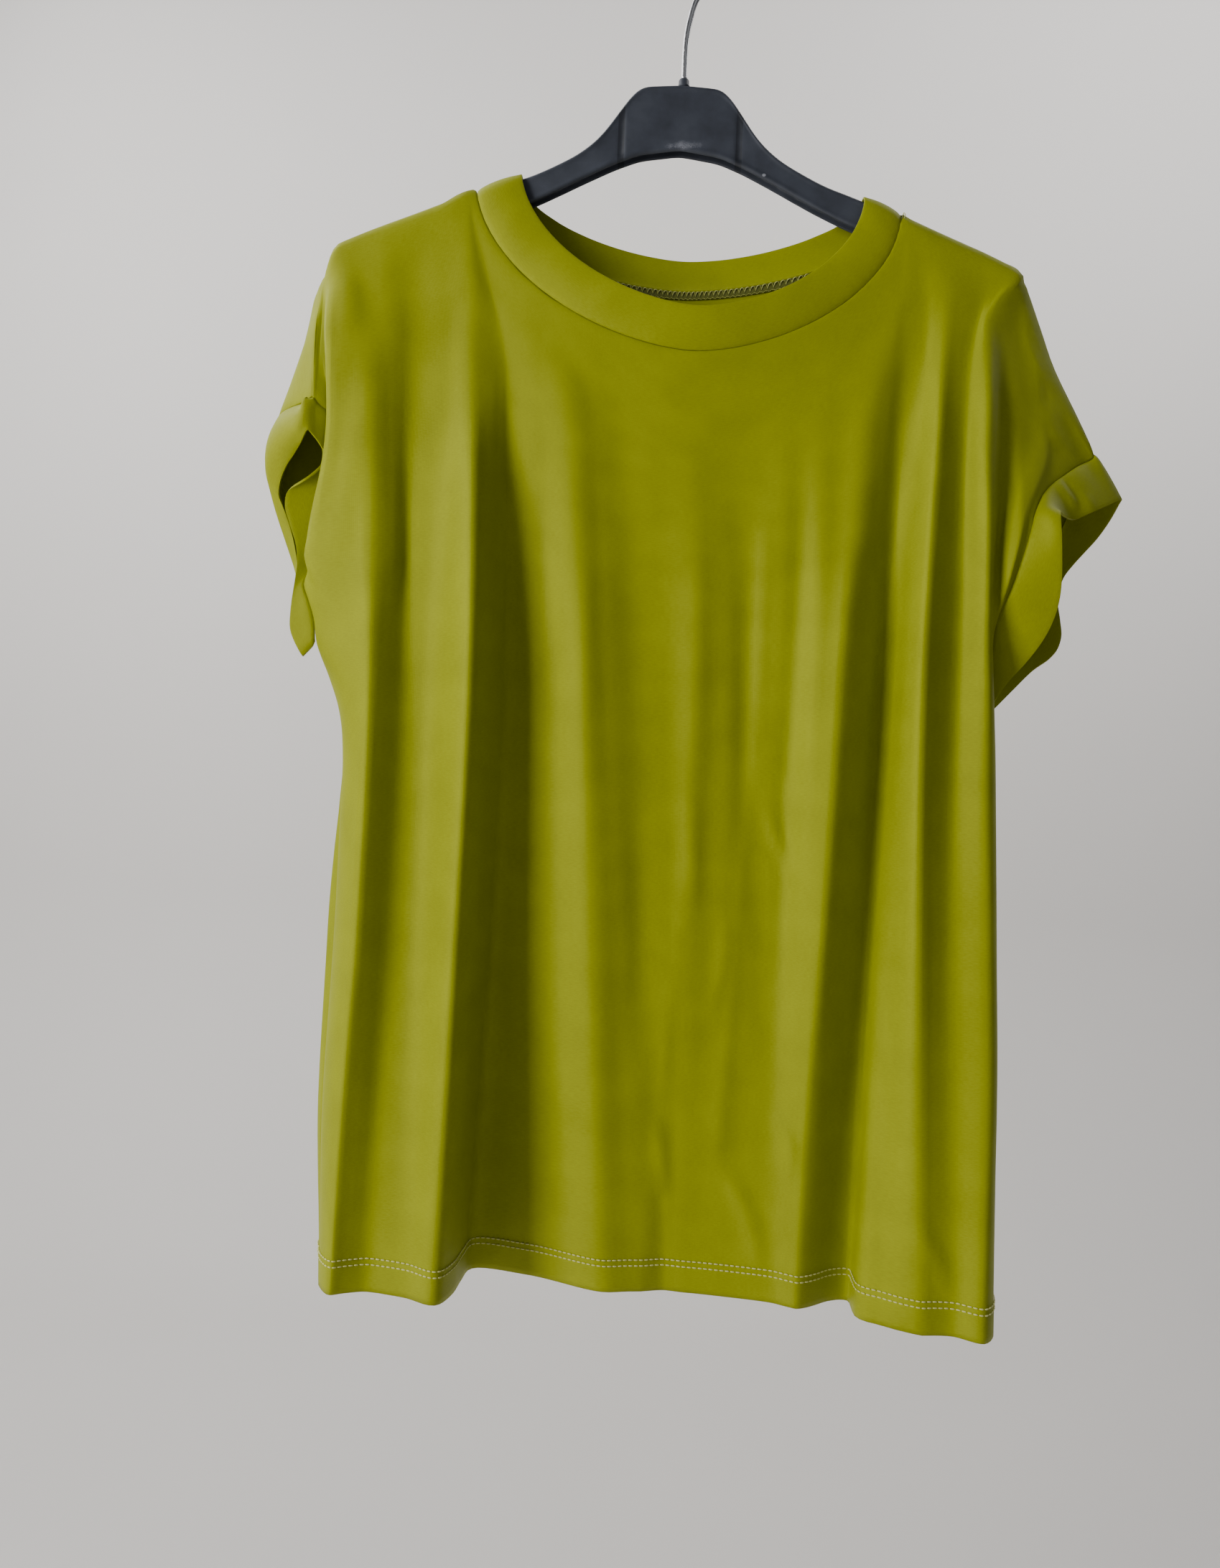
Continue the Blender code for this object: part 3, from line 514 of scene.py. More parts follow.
RIDGE_END = 40 * MM
RIDGE_ROUND = 1.2


def ridge_heights(points, ridges):
    """How far the ridges lift each point, in metres.

    With s the distance across from the ridge's line, softened to sqrt(s^2 + r^2) - r near it, the
    height falls off as exp(-s / width), with one width on the left and another on the right. It
    grows from nothing over the first few centimetres of the line and fades again over its last ones.
    """
    x, drop = points[..., 0] / MM, -points[..., 2] / MM
    lift = np.zeros(x.shape)
    for line, height, left, right in ridges:
        drops, places = np.array(line, dtype=float).T
        s = x - (curve_weights(drops, drop.ravel()) @ places).reshape(x.shape)
        soft = np.sqrt(s ** 2 + RIDGE_ROUND ** 2) - RIDGE_ROUND
        start = np.clip((drop - drops[0]) * MM / RIDGE_START, 0.0, 1.0)
        start *= np.clip((drops[-1] - drop) * MM / RIDGE_END, 0.0, 1.0)
        lift += height * start * start * (3 - 2 * start) * np.exp(-soft / np.where(s < 0, left, right))
    return lift * MM


# %% Creases
# x and drop of the start, x and drop of the end, bow to the right, half width, height, all in mm
FRONT_CREASES = (
    (-182, 260, -196, 400, 4, 5, 1.2),
    (-150, 235, -146, 640, 3, 9, 1.3),
    (-92, 300, -80, 700, -4, 10, 1.6),
    (-76, 330, -60, 560, 3, 8, -1.4),
    (-34, 330, -28, 800, 5, 11, 1.4),
    (14, 300, 26, 520, 4, 9, 1.3),
    (33, 330, 44, 640, 4, 8, 2.2),
    (52, 360, 58, 600, -3, 7, -1.8),
    (66, 300, 74, 520, 3, 8, 1.8),
    (86, 280, 84, 620, 3, 9, 1.5),
    (104, 250, 96, 560, 0, 8, -1.2),
    (66, 528, 86, 574, -2, 3.5, 1.4),
    (78, 508, 81, 542, 0, 3, 1.1),
    (20, 520, 24, 600, 2, 4, 1.0),
    (44, 585, 38, 655, 3, 4, 1.1),
    (76, 704, 88, 744, 3, 4, 1.7),
    (46, 738, 73, 802, 4, 5.5, 1.7),
    (7, 712, 13, 765, 2, 4.5, 1.5),
    (-13, 520, -4, 690, 2, 7, -1.3),
    (63, 500, 69, 700, 0, 7, -1.5),
    (133, 650, 141, 696, 2, 4, 1.5),
    (152, 755, 177, 803, 3, 5, 1.4),
    (-60, 640, -40, 760, 4, 9, 1.4),
    (160, 300, 150, 420, 3, 6, 1.0),
    (-26, 320, 12, 860, 0, 18, 5.0),
    (-132, 280, -134, 940, 0, 14, -8.5),
    (80, 320, 77, 740, 0, 8, -3.6),
    (137, 400, 139, 860, 0, 7, -4.5),
    (119, 470, 112, 900, 0, 7, -3.0),
    (220, 268, 219, 292, 1, 3, -1.5),
    (224, 304, 245, 312, -2, 3, 1.6),
    (222, 312, 236, 322, 2, 3, -1.3),
    (206, 384, 191, 444, -2, 2.5, -2.4),
    (210, 390, 197, 442, -2, 4, 1.8),
    (232, 286, 240, 300, 1, 3, 1.0),
)
BACK_CREASES = (
    (-150, 260, -158, 560, -3, 10, 1.6),
    (-104, 300, -112, 620, 4, 9, -1.5),
    (-68, 280, -74, 560, 3, 9, 1.7),
    (-26, 300, -22, 700, -4, 10, 1.6),
    (16, 320, 24, 560, 4, 8, -1.5),
    (62, 290, 58, 640, 3, 10, 1.8),
    (108, 300, 102, 560, -3, 8, 1.5),
    (150, 330, 156, 640, 3, 9, 1.4),
    (-40, 600, -62, 720, 4, 7, 1.6),
    (70, 640, 90, 740, -3, 7, -1.6),
)

# %% Crease heights
def crease_heights(points, creases):
    """How far the creases lift each point, in metres.

    Seen from the front, u is the share of the way along the crease and s the distance from its
    line: the height times the bell exp(-(s / width)^2) times the sine of pi u, and the line bows by
    the bow times that sine.
    """
    x, drop = points[..., 0] / MM, -points[..., 2] / MM
    lift = np.zeros(x.shape)
    for x0, d0, x1, d1, bow, width, height in creases:
        along = np.hypot(x1 - x0, d1 - d0)
        ux, ud = (x1 - x0) / along, (d1 - d0) / along
        u = np.clip(((x - x0) * ux + (drop - d0) * ud) / along, 0.0, 1.0)
        wave = np.sin(np.pi * u)
        s = (x - x0) * ud - (drop - d0) * ux - bow * wave
        lift += height * np.exp(-(s / width) ** 2) * wave
    return lift * MM


# %% [markdown]
# ## Front and back
#
# Each panel is a sheet of smooth cloth with its creases, and fades into plain cloth at its seams,
# so that two pieces still meet there. At a sewn edge the cloth turns inwards over the seam, which
# draws the fine dark line of the seam. The last two centimetres are the turned hem: two layers, a
# little proud of the rest.

# %% Panels
THICKNESS = 0.7 * MM
SEAM_TURN = 2.0 * MM
SEAM_ROUND = 1.5 * MM
CREASE_FADE = 14 * MM
HEM_HEIGHT = 19.0 * MM
HEM_PROUD = 0.35 * MM
HEM_STEP = 1.0 * MM
PANEL_STEP = 3.4 * MM


sheets = {name: Cloth(grid) for name, grid in panels.items()}
# the side of the outer face along Y
SIDES = {"front": -1, "back": 1}
RIDGES = {"front": FRONT_RIDGES, "back": BACK_RIDGES}
CREASES = {"front": FRONT_CREASES, "back": BACK_CREASES}


def panel_points_at(name, down, across):
    """Points of a dressed panel and its unit normals, which look away from the wearer.

    Ridges and creases move the cloth along Y and fade with the square of the distance to a seam. At
    a sewn edge it turns in by half the turn times exp(-distance / round), and the hem stands proud.
    """
    sheet, side = sheets[name], SIDES[name]
    points = sheet.at(down, across)
    normal = outward(points, ring=False)
    normal *= np.sign((normal[..., 1] * side).sum())
    edge = np.minimum(across, sheet.wide - across)[None, :]
    from_top = down[:, None]
    from_hem = (sheet.long - down)[:, None]
    fade = np.clip(np.minimum(edge, from_top) / CREASE_FADE, 0.0, 1.0)
    lift = crease_heights(points, CREASES[name]) + ridge_heights(points, RIDGES[name])
    points[..., 1] += side * lift * fade ** 2
    turn = SEAM_TURN * (np.exp(-from_top / SEAM_ROUND) + np.exp(-edge / SEAM_ROUND)) / 2
    proud = HEM_PROUD * np.clip((HEM_HEIGHT + HEM_STEP - from_hem) / HEM_STEP, 0.0, 1.0)
    return points + normal * (proud - turn)[..., None], normal


def make_panel(name):
    """The dressed front or back."""
    sheet = sheets[name]
    down = graded(sheet.long, PANEL_STEP)
    half = graded(sheet.wide / 2, PANEL_STEP)
    across = np.concatenate((half, sheet.wide - half[-2::-1]))
    points, normal = panel_points_at(name, down, across)
    uv = cloth_uv(down, across)
    if (outward(points, False) * normal).sum() < 0:
        points, uv = points[:, ::-1], uv[:, ::-1]
    return thicken(add_grid(name + "_panel", points, uv, jersey), THICKNESS)


front_panel = make_panel("front")
back_panel = make_panel("back")

# %% [markdown]
# ## Neckband and cuffs
#
# A band is one strip, folded lengthways and sewn on by its two raw edges, so it is double: its free
# edge is a soft round fold and not a cut. Each is a closed ring of cloth. It is thicker than the
# panels, it turns in at its seam as they do, and small puckers run up from the seam.

# %% Bands
BAND_THICKNESS = 1.3 * MM
BAND_STEP = 2.6 * MM
PUCKER = 0.16 * MM
PUCKER_PITCH = 7.0 * MM
PUCKER_RUN = 5.0 * MM
PUCKER_DRIFT, DRIFT_PITCHES = 2.1, 4.3
BAND_ROUND = 0.45 * MM
BAND_CREASES = {
    "neckband": (),
    "left_cuff": ((-226, 312, -214, 322, 1, 3, 1.2), (-232, 330, -216, 322, -2, 4, -1.2)),
    "right_cuff": ((225, 333, 237, 352, 3, 3, 1.7), (230, 330, 244, 346, -2, 3, -1.5),
                   (238, 340, 250, 353, 2, 3, 1.3), (216, 350, 222, 380, 2, 5, 1.2)),
}


def make_band(name):
    """A ring of cloth from its seam to its free edge, with a rounded free edge.

    The puckers are a sine wave round the ring with a slow drift in its phase, times
    exp(-distance from the seam / run).
    """
    sheet = Cloth(bands[name], ring=True)
    down = graded(sheet.long, BAND_STEP)
    count = int(sheet.wide / BAND_STEP)
    across = np.arange(count) * sheet.wide / count
    points = sheet.at(down, across)
    normal = outward(points, ring=True)
    centre = points.mean(axis=(0, 1))
    if (normal * (points - centre)).sum() < 0:
        points, normal = points[:, ::-1], -normal[:, ::-1]
    turn = SEAM_TURN * np.exp(-down / SEAM_ROUND) / 2
    drift = PUCKER_DRIFT * np.sin(across / (DRIFT_PITCHES * PUCKER_PITCH))
    waves = np.sin(2 * np.pi * across / PUCKER_PITCH + drift)
    pucker = PUCKER * waves[None, :] * np.exp(-down / PUCKER_RUN)[:, None] * (down[:, None] > 0)
    crease = crease_heights(points, BAND_CREASES[name]) * np.clip(-normal[..., 1], 0.0, 1.0)
    points = points + normal * (pucker + crease - turn[:, None])[..., None]
    piece = add_grid(name + "_cloth", points, cloth_uv(down, across), jersey, ring=True)
    thicken(piece, BAND_THICKNESS)
    soft = piece.modifiers.new("soft edge", "BEVEL")
    soft.width = BAND_ROUND
    soft.segments = 2
    soft.limit_method = "ANGLE"
    soft.angle_limit = np.radians(50)
    return piece, sheet


neck_band, neck_sheet = make_band("neckband")
left_band, left_sheet = make_band("left_cuff")
right_band, right_sheet = make_band("right_cuff")

# %% [markdown]
# ## Small parts carried along a path
#
# Stitches, threads and the hook's wire are round rods that follow a line. A rod is a circle carried
# along its path: at each point of the path, two directions square to it span the circle.

# %% Rods
def path_lengths(path):
    """Length from a path's start to each of its points."""
    return np.concatenate(([0.0], np.cumsum(np.linalg.norm(np.diff(path, axis=0), axis=1))))


def read_at(at, places, points):
    """Points read off a line at the places at, in a straight line between its own places."""
    return np.stack([np.interp(at, places, points[:, i]) for i in range(3)], axis=-1)


def rod_points(path, radius, sides, up=(0.0, 1.0, 0.0)):
    """Circle of the radius carried along a path: path + radius (cos a, side + sin a, up), for each a."""
    tangent = unit(np.gradient(path, axis=0))
    side = unit(np.cross(tangent, up))
    other = np.cross(side, tangent)
    a = np.linspace(0, 2 * np.pi, sides, endpoint=False)
    ring = np.cos(a)[None, :, None] * side[:, None] + np.sin(a)[None, :, None] * other[:, None]
    return path[:, None] + ring * np.reshape(radius, (-1, 1, 1))


def add_rods(name, rods, material):
    """One object of closed rods: each is rings by sides by (x, y, z), and its end rings are caps."""
    points = []
    faces = []
    start = 0
    for rod in rods:
        rings, sides = rod.shape[:2]
        index = start + np.arange(rings * sides).reshape(rings, sides)
        turned = np.roll(index, -1, axis=1)
        quads = np.stack((index[:-1], index[1:], turned[1:], turned[:-1]), axis=-1).reshape(-1, 4)
        faces += quads.tolist() + [index[0].tolist(), index[-1, ::-1].tolist()]
        points.append(rod.reshape(-1, 3))
        start += rings * sides
    return add_mesh(name, np.concatenate(points), faces, material)


# %% [markdown]
# ## Thread and hem
#
# The hem is held by a coverstitch: two parallel rows of long stitches in a lighter yellow thread,
# just below the top of the turned cloth and three and a half millimetres apart. Each stitch is a
# small spindle that lies on the cloth, a little sunk at its ends, where the thread pulls it in.

# %% Hem stitches
STITCH_ROWS = (HEM_HEIGHT - 3.5 * MM, HEM_HEIGHT)
STITCH_PITCH = 3.2 * MM
STITCH_SHARE = 0.96
STITCH_RADIUS = 0.42 * MM
STITCH_SIDES = 6
STITCH_LIFT = 0.2 * MM
STITCH_SHAPE = np.array((0.35, 0.9, 1.0, 1.0, 0.9, 0.35))
STITCH_LINE = 900
THREAD = (0.80, 0.80, 0.26)
OVERLOCK_COLOUR = (0.56, 0.58, 0.12)
# the overlock strip's colour is dark as painted shade, where the neckband shades it
OVERLOCK_STRIP_SHADE = (0.13, 0.14, 0.008)


def make_thread(name, colour):
    """Twisted sewing thread, a little shiny."""
    material, tree = new_material(name)
    place = node(tree, "TexCoord").outputs["Object"]
    twist = node(tree, "TexWave", Vector=place, Scale=900.0, Distortion=2.0)
    colour = ramp(tree, twist.outputs["Fac"], (0.0, shaded(colour, 0.75)), (1.0, colour))
    finish_material(tree, Base_Color=colour, Roughness=0.45, Sheen_Weight=0.2)
    return material


thread = make_thread("hem_thread", THREAD)
loop_thread = make_thread("overlock_thread", OVERLOCK_COLOUR)
# the strip's material carries the painted shade
painted_shade_strip = make_thread("overlock_strip_painted_shade", OVERLOCK_STRIP_SHADE)


def make_hem_stitches(name):
    """Spindles along a panel's two stitch lines: each takes its share of one pitch."""
    sheet = sheets[name]
    fine = np.linspace(0.0, sheet.wide, STITCH_LINE)
    rings = len(STITCH_SHAPE)
    rods = []
    for height in STITCH_ROWS:
        down = sheet.long - height + np.array((-1.0, 0.0, 1.0)) * MM
        points, normal = panel_points_at(name, down, fine)
        path = points[1] + normal[1] * (THICKNESS / 2 + STITCH_LIFT)
        length = path_lengths(path)
        count = int(length[-1] / STITCH_PITCH)
        line = read_at(np.linspace(0.0, length[-1], count * rings + 1), length, path)
        for run in line[:-1].reshape(count, rings, 3):
            centre = run.mean(axis=0)
            run = centre + (run - centre) * STITCH_SHARE
            rods.append(rod_points(run, STITCH_RADIUS * STITCH_SHAPE, STITCH_SIDES, up=(0.0, 0.0, 1.0)))
    print(name, "stitches:", len(rods))
    return add_rods(name + "_hem_stitches", rods, thread)


front_stitches = make_hem_stitches("front")
back_stitches = make_hem_stitches("back")

# %% [markdown]
# ## Overlock inside the neck
#
# Where the band is sewn on, the raw edges inside are bound together by an overlock: a narrow strip
# on the inside of the panel, dense with thread, whose loops lie in a row of small arcs along the
# band. The strip is coloured dark as painted shade, where the neckband shades it. At the back of
# the neck it shows through the opening. Two long threads a panel are enough: a row of arcs with
# legs that run down over the strip, and a fine chain along the strip's lower edge.

# %% Neck overlock
# row of the strip and height over it at each of the eight steps of a loop and of the chain
OVERLOCK_START, OVERLOCK_WIDTH = 0.5 * MM, 7.5 * MM
OVERLOCK_PITCH = 3.1 * MM
OVERLOCK_IN = 0.95 * MM
OVERLOCK_NEAR, OVERLOCK_LINE, NECK_LINE = 4.0 * MM, 1500, 500
OVERLOCK_THREAD = 0.29 * MM
OVERLOCK_THICKNESS = 0.8 * MM
LOOP_ROWS = (8, 4, 1, 0, 0, 0, 1, 4)
LOOP_OUT = np.array((0.1, 0.2, 0.3, 0.4, 0.45, 0.4, 0.3, 0.2)) * MM
CHAIN_ROWS = (11, 11, 12, 12, 11, 11, 10, 11)
CHAIN_THREAD = 0.16 * MM
THREAD_PATHS = ((LOOP_ROWS, LOOP_OUT, OVERLOCK_THREAD), (CHAIN_ROWS, 0 * LOOP_OUT, CHAIN_THREAD))
THREAD_SIDES = 5
THREAD_UP = (0.3, 0.9, 0.1)
STRIP_ROWS = 13


def make_overlock(name):
    """The bound strip inside a panel's neck edge, and the thread that loops over it.

    The strip is the panel's own surface near its edge, moved inwards. A loop takes eight steps along
    the seam, and each step has a height of its own on the strip.
    """
    sheet = sheets[name]
    fine = np.linspace(0.0, sheet.wide, OVERLOCK_LINE)
    seam = neck_sheet.at(np.zeros(1), np.linspace(0.0, neck_sheet.wide, NECK_LINE))[0]
    gap = np.linalg.norm(sheet.at(np.zeros(1), fine)[0][:, None] - seam, axis=-1).min(axis=1)
    first, last = fine[gap < OVERLOCK_NEAR][[0, -1]]
    count = int((last - first) / OVERLOCK_PITCH)
    across = np.linspace(first, last, len(LOOP_ROWS) * count)
    down = np.linspace(OVERLOCK_START, OVERLOCK_WIDTH, STRIP_ROWS)
    points, normal = panel_points_at(name, down, across)
    uv = cloth_uv(down, across)
    inside = points - normal * OVERLOCK_IN
    # the strip is coloured with the painted shade
    strip = add_grid(name + "_overlock_strip", inside[::3, ::4], uv[::3, ::4], painted_shade_strip)
    rods = []
    for rows, out, radius in THREAD_PATHS:
        row, column = np.tile(rows, count), np.arange(len(across))
        lift = np.tile(out, count)[:, None] + OVERLOCK_THICKNESS / 2
        path = inside[row, column] - normal[row, column] * lift
        rods.append(rod_points(path, radius, THREAD_SIDES, up=THREAD_UP))
    loops = add_rods(name + "_overlock_thread", rods, loop_thread)
    print(name, "overlock loops:", count, "along, m:", round(last - first, 3))
    return thicken(strip, OVERLOCK_THICKNESS), loops


overlock = [piece for name in ("front", "back") for piece in make_overlock(name)]

# %% [markdown]
# ## Side seams inside
#
# At each side the front and the back are sewn together with a narrow allowance, which lies inside
# against both. A strip behind the seam stands for it, and no light comes through between the panels.

# %% Side seams
SEAM_TOP = -480.0 * MM
SEAM_FROM = 0.4
SEAM_ABOVE_HEM = 2.0 * MM
SEAM_REACH = 5.0 * MM
SEAM_IN = 1.0 * MM
SEAM_THICKNESS = 0.6 * MM
SEAM_ROWS, SEAM_LINE, MIDDLE_COLUMNS = 100, 500, 50


def make_side_seam(name, edge, reach):
    """A strip behind a side seam; edge and reach number the columns that it is made from.

    At each height it joins three places, all moved inwards from the cloth: on the front a few
    millimetres from its edge, midway between the two panels' edges, and on the back.
    """
    lines = []
    for panel, sheet in sheets.items():
        near = np.array((0.0, SEAM_REACH / 2, SEAM_REACH))
        middle = np.linspace(2 * SEAM_REACH, sheet.wide - 2 * SEAM_REACH, MIDDLE_COLUMNS)
        across = np.concatenate((near, middle, sheet.wide - near[::-1]))
        fine = np.linspace(SEAM_FROM * sheet.long, sheet.long, SEAM_LINE)
        points, normal = panel_points_at(panel, fine, across)
        inside = points - normal * SEAM_IN
        lines.append((inside[:, edge], inside[:, reach]))
    low = max(line[0][-1, 2] for line in lines) + SEAM_ABOVE_HEM
    height = np.linspace(SEAM_TOP, low, SEAM_ROWS)
    front, back = ([read_at(-height, -line[:, 2], line) for line in pair] for pair in lines)
    points = np.stack((front[1], (front[0] + back[0]) / 2, back[1]), axis=1)
    print(name, "from drop", round(-SEAM_TOP / MM), "to", round(-low / MM))
    return thicken(add_grid(name, points, points[..., [1, 2]], jersey), SEAM_THICKNESS)


side_seams = [make_side_seam("left_side_seam", 0, 2), make_side_seam("right_side_seam", -1, -3)]

# %% [markdown]
# ## Hanger
#
# The hanger is one moulding of near-black plastic: a plate in the middle and two arms. Its outline
# is read from its solid, as the highest and lowest point at each place across, and a rounded box is
# carried along it. On the plate's face two shallow upright grooves mark the ends of a slightly
# raised panel with a small dimple near each, and a darker strip is painted along each groove as the
# shade that falls in it. A low rim runs along both edges, and the underside is hollow, as such
# mouldings are. The plate is rubbed pale below its middle, and one chip on the right arm shows
# lighter plastic.

# %% Hanger plastic
PLASTIC = (0.034, 0.039, 0.052)
SCUFF = (0.30, 0.31, 0.35)
# centre and half sizes of the rubbed patch and of the chip, mm, and how strongly each shows
SCUFFS = (((3.0, -9.0, -137.0), (17.0, 12.0, 5.0), 1.1),
          ((50.7, -8.0, -153.6), (1.4, 6.0, 1.2), 9.0))
# x, half width and darkening of the strip painted along each groove as the shade in it
STRIP_X, STRIP_HALF, STRIP_PAINTED_SHADE = 35.2 * MM, 1.9 * MM, 0.35


def make_plastic():
    """Moulded plastic: fine grain, a few rubbed lighter places, and a darker strip along each groove
    beside the panel as painted shade.
    """
    material, tree = new_material("hanger_moulding")
    place = node(tree, "TexCoord").outputs["Object"]
    grain = noise(tree, place, 2600.0, 2.0)
    rub = noise(tree, place, 55.0, 5.0, 0.6)
    x = node(tree, "SeparateXYZ", Vector=place).outputs["X"]
    side = node(tree, "Math", _operation="ABSOLUTE", i0=x)
    # painted shade: a darker strip along each groove
    strip = node(tree, "Math", _operation="COMPARE", i0=side.outputs[0], i1=STRIP_X, i2=STRIP_HALF)
    shade = times_plus(tree, strip.outputs[0], -STRIP_PAINTED_SHADE, rub)
    for centre, size, strength in SCUFFS:
        moved = node(tree, "Mapping", _vector_type="TEXTURE", Vector=place,
                     Location=tuple(c * MM for c in centre), Scale=tuple(s * MM for s in size))
        spot = node(tree, "TexGradient", _gradient_type="SPHERICAL", Vector=moved.outputs[0])
        worn = times_plus(tree, spot.outputs["Fac"], grain)
        shade = times_plus(tree, worn, strength, shade)
    colour = ramp(tree, shade, (0.0, shaded(PLASTIC, 0.5)), (0.35, PLASTIC),
                  (0.72, shaded(PLASTIC, 1.6)), (1.0, SCUFF))
    rough = node(tree, "MapRange", Value=rub, i1=0.3, i2=0.7, i3=0.42, i4=0.56)
    bump = node(tree, "Bump", Strength=0.12, Distance=0.05 * MM, Height=grain)
    finish_material(tree, Base_Color=colour, Roughness=rough.outputs[0], Normal=bump.outputs[0])
    return material


plastic = make_plastic()

# %% [markdown]
# The section's points all round are found for all places across at once, as one array of places by
# points. The details of the face are heights that are added to its depth.

# %% Hanger measures
STATION_NEAR = 0.05 * MM
HANGER_STEP = 2.0 * MM
OUTLINE_ROUND = 5.0 * MM
ROUND_FROM, ROUND_FADE = 90.0 * MM, 20.0 * MM
FINE_STEP = 0.4 * MM
HANGER_LEAST = 1.0 * MM
HANGER_SQUARE, ARM_SQUARE = 0.24, 0.5
ARM_FROM, ARM_TO = 45 * MM, 95 * MM
SECTION_POINTS = 112
PANEL_X = 33.0 * MM
PANEL_EDGE = 0.9 * MM
PANEL_PROUD = 0.3 * MM
GROOVE_WIDTH = 1.9 * MM
GROOVE_DEPTH = 0.6 * MM
RIM_WIDTH = 1.8 * MM
RIM_PROUD = 0.6 * MM
DIMPLE_X, DIMPLE_DROP, DIMPLE_RADIUS, DIMPLE_DEPTH = 26.0 * MM, 18.0 * MM, 1.0 * MM, 1.2 * MM
DETAIL_FROM, DETAIL_TO = DIMPLE_X - 3 * MM, PANEL_X + 4 * MM
GROOVE_TOP, GROOVE_TOP_FADE, GROOVE_FOOT_FADE = 5.0 * MM, 6.0 * MM, 5.0 * MM
FACE_FROM = 0.7
CHANNEL_DEPTH = 7.0 * MM
CHANNEL_SHARE = 0.5
CHANNEL_WALL, CHANNEL_STEP = 0.74, 0.1

# %% Hanger body
def make_hanger():
    """Rounded-box section carried along the outline.

    At the angle a round the section, depth is |cos a|^p and height |sin a|^p with their signs, where
    p goes from a squarer plate to rounder arms. On the front face the raised panel ends in a steep
    arctangent step across x, and the grooves and dimples are bell curves pressed in. Below, the
    section is an open channel between two walls. Round the plate the outline is averaged with the
    weights exp(-(distance / round)^2), so that its corners are round.
    """
    points = merged("hanger")[0]
    tip = np.abs(points[:, 0]).max()
    stations = np.unique(points[:, 0].round(5))
    outline = np.array([(points[near, 2].max(), points[near, 2].min(), points[near, 1].max())
                        for near in (np.abs(points[:, 0] - s) < STATION_NEAR for s in stations)])
    coarse = np.arange(-tip, tip, HANGER_STEP)
    detail = np.arange(DETAIL_FROM, DETAIL_TO, FINE_STEP)
    x = np.unique(np.concatenate((coarse, stations, detail, -detail)).round(5))
    run = curve_weights(stations, x) @ outline
    near = np.exp(-((x[:, None] - x) / OUTLINE_ROUND) ** 2) * np.gradient(x)
    share = np.clip((ROUND_FROM - np.abs(x)) / ROUND_FADE, 0.0, 1.0)[:, None]
    run += share * (near @ run / near.sum(axis=1, keepdims=True) - run)
    top, bottom, depth = run.T
    top = np.maximum(top, bottom + HANGER_LEAST)
    square = np.interp(np.abs(x), (ARM_FROM, ARM_TO), (HANGER_SQUARE, ARM_SQUARE))[:, None]
    a = (np.arange(SECTION_POINTS) + 0.5) * 2 * np.pi / SECTION_POINTS
    across = np.sign(np.cos(a)) * np.abs(np.cos(a)) ** square
    high = np.sign(np.sin(a)) * np.abs(np.sin(a)) ** square
    tall = ((top - bottom) / 2)[:, None]
    z = ((top + bottom) / 2)[:, None] + tall * high
    below, above = top[:, None] - z, z - bottom[:, None]
    on_face = across < -FACE_FROM
    side = np.abs(x)[:, None]
    press = GROOVE_DEPTH * np.exp(-((side - STRIP_X) / GROOVE_WIDTH) ** 2)
    press = press * np.clip((below - GROOVE_TOP) / GROOVE_TOP_FADE, 0, 1)
    press *= np.clip(above / GROOVE_FOOT_FADE, 0, 1)
    press += PANEL_PROUD * (0.5 + np.arctan((side - PANEL_X) / PANEL_EDGE) / np.pi)
    dimple = np.hypot(side - DIMPLE_X, below - DIMPLE_DROP) / DIMPLE_RADIUS
    press += DIMPLE_DEPTH * np.exp(-dimple ** 2)
    rim = np.exp(-((below - RIM_WIDTH) / RIM_WIDTH) ** 2)
    rim = rim + np.exp(-((above - RIM_WIDTH) / RIM_WIDTH) ** 2)
    y = across * (depth[:, None] - RIM_PROUD + on_face * (RIM_PROUD * rim - press))
    inner = np.clip((CHANNEL_WALL - np.abs(across)) / CHANNEL_STEP, 0, 1) * (high < 0)
    z = z + inner * np.minimum(CHANNEL_DEPTH, CHANNEL_SHARE * tall)
    section = np.stack((np.broadcast_to(x[:, None], y.shape), y, z), axis=-1)
    piece = add_rods("hanger_body", [section], plastic)
    print("hanger sections:", len(x))
    return piece


hanger_body = make_hanger()

# %% [markdown]
# ## Hook and its socket
#
# The hook is plated steel wire: a straight stem, a lean to the right, and a round crook open to the
# left. The route repeats the solid's, point by point. The wire stands in a small turned collar of
# the same plastic as the plate, which is a profile turned about an upright axis.

# %% Hook
STEEL = (0.66, 0.66, 0.67)
WIRE_RADIUS = 1.75 * MM
STEM = ((1.0, -94.6), (1.0, -80.0), (1.5, -70.0), (3.4, -58.0), (6.8, -46.5), (12.5, -38.5))
CROOK_RADIUS = 22.0
CROOK_DROP = -20.25
CROOK_FROM, CROOK_TO, CROOK_STEP = -28, 188, 12
HOOK_RINGS, HOOK_SIDES, SOCKET_SIDES = 160, 20, 32
TIP_LENGTH = 0.6 * MM
# radius and height of the collar's outline, mm
SOCKET_PROFILE = ((3.6, 0.0), (3.6, 1.1), (3.25, 1.5), (3.1, 4.3), (2.7, 4.95), (1.9, 5.0), (1.85, 4.4))


def make_steel():
    """Bright plating with faint drawing lines along the wire."""
    material, tree = new_material("plated_wire")
    place = node(tree, "TexCoord").outputs["Object"]
    spots = noise(tree, place, 400.0, 4.0)
    rough = node(tree, "MapRange", Value=spots, i1=0.3, i2=0.7, i3=0.16, i4=0.3)
    finish_material(tree, Base_Color=(*STEEL, 1.0), Metallic=1.0, Roughness=rough.outputs[0])
    return material


steel = make_steel()


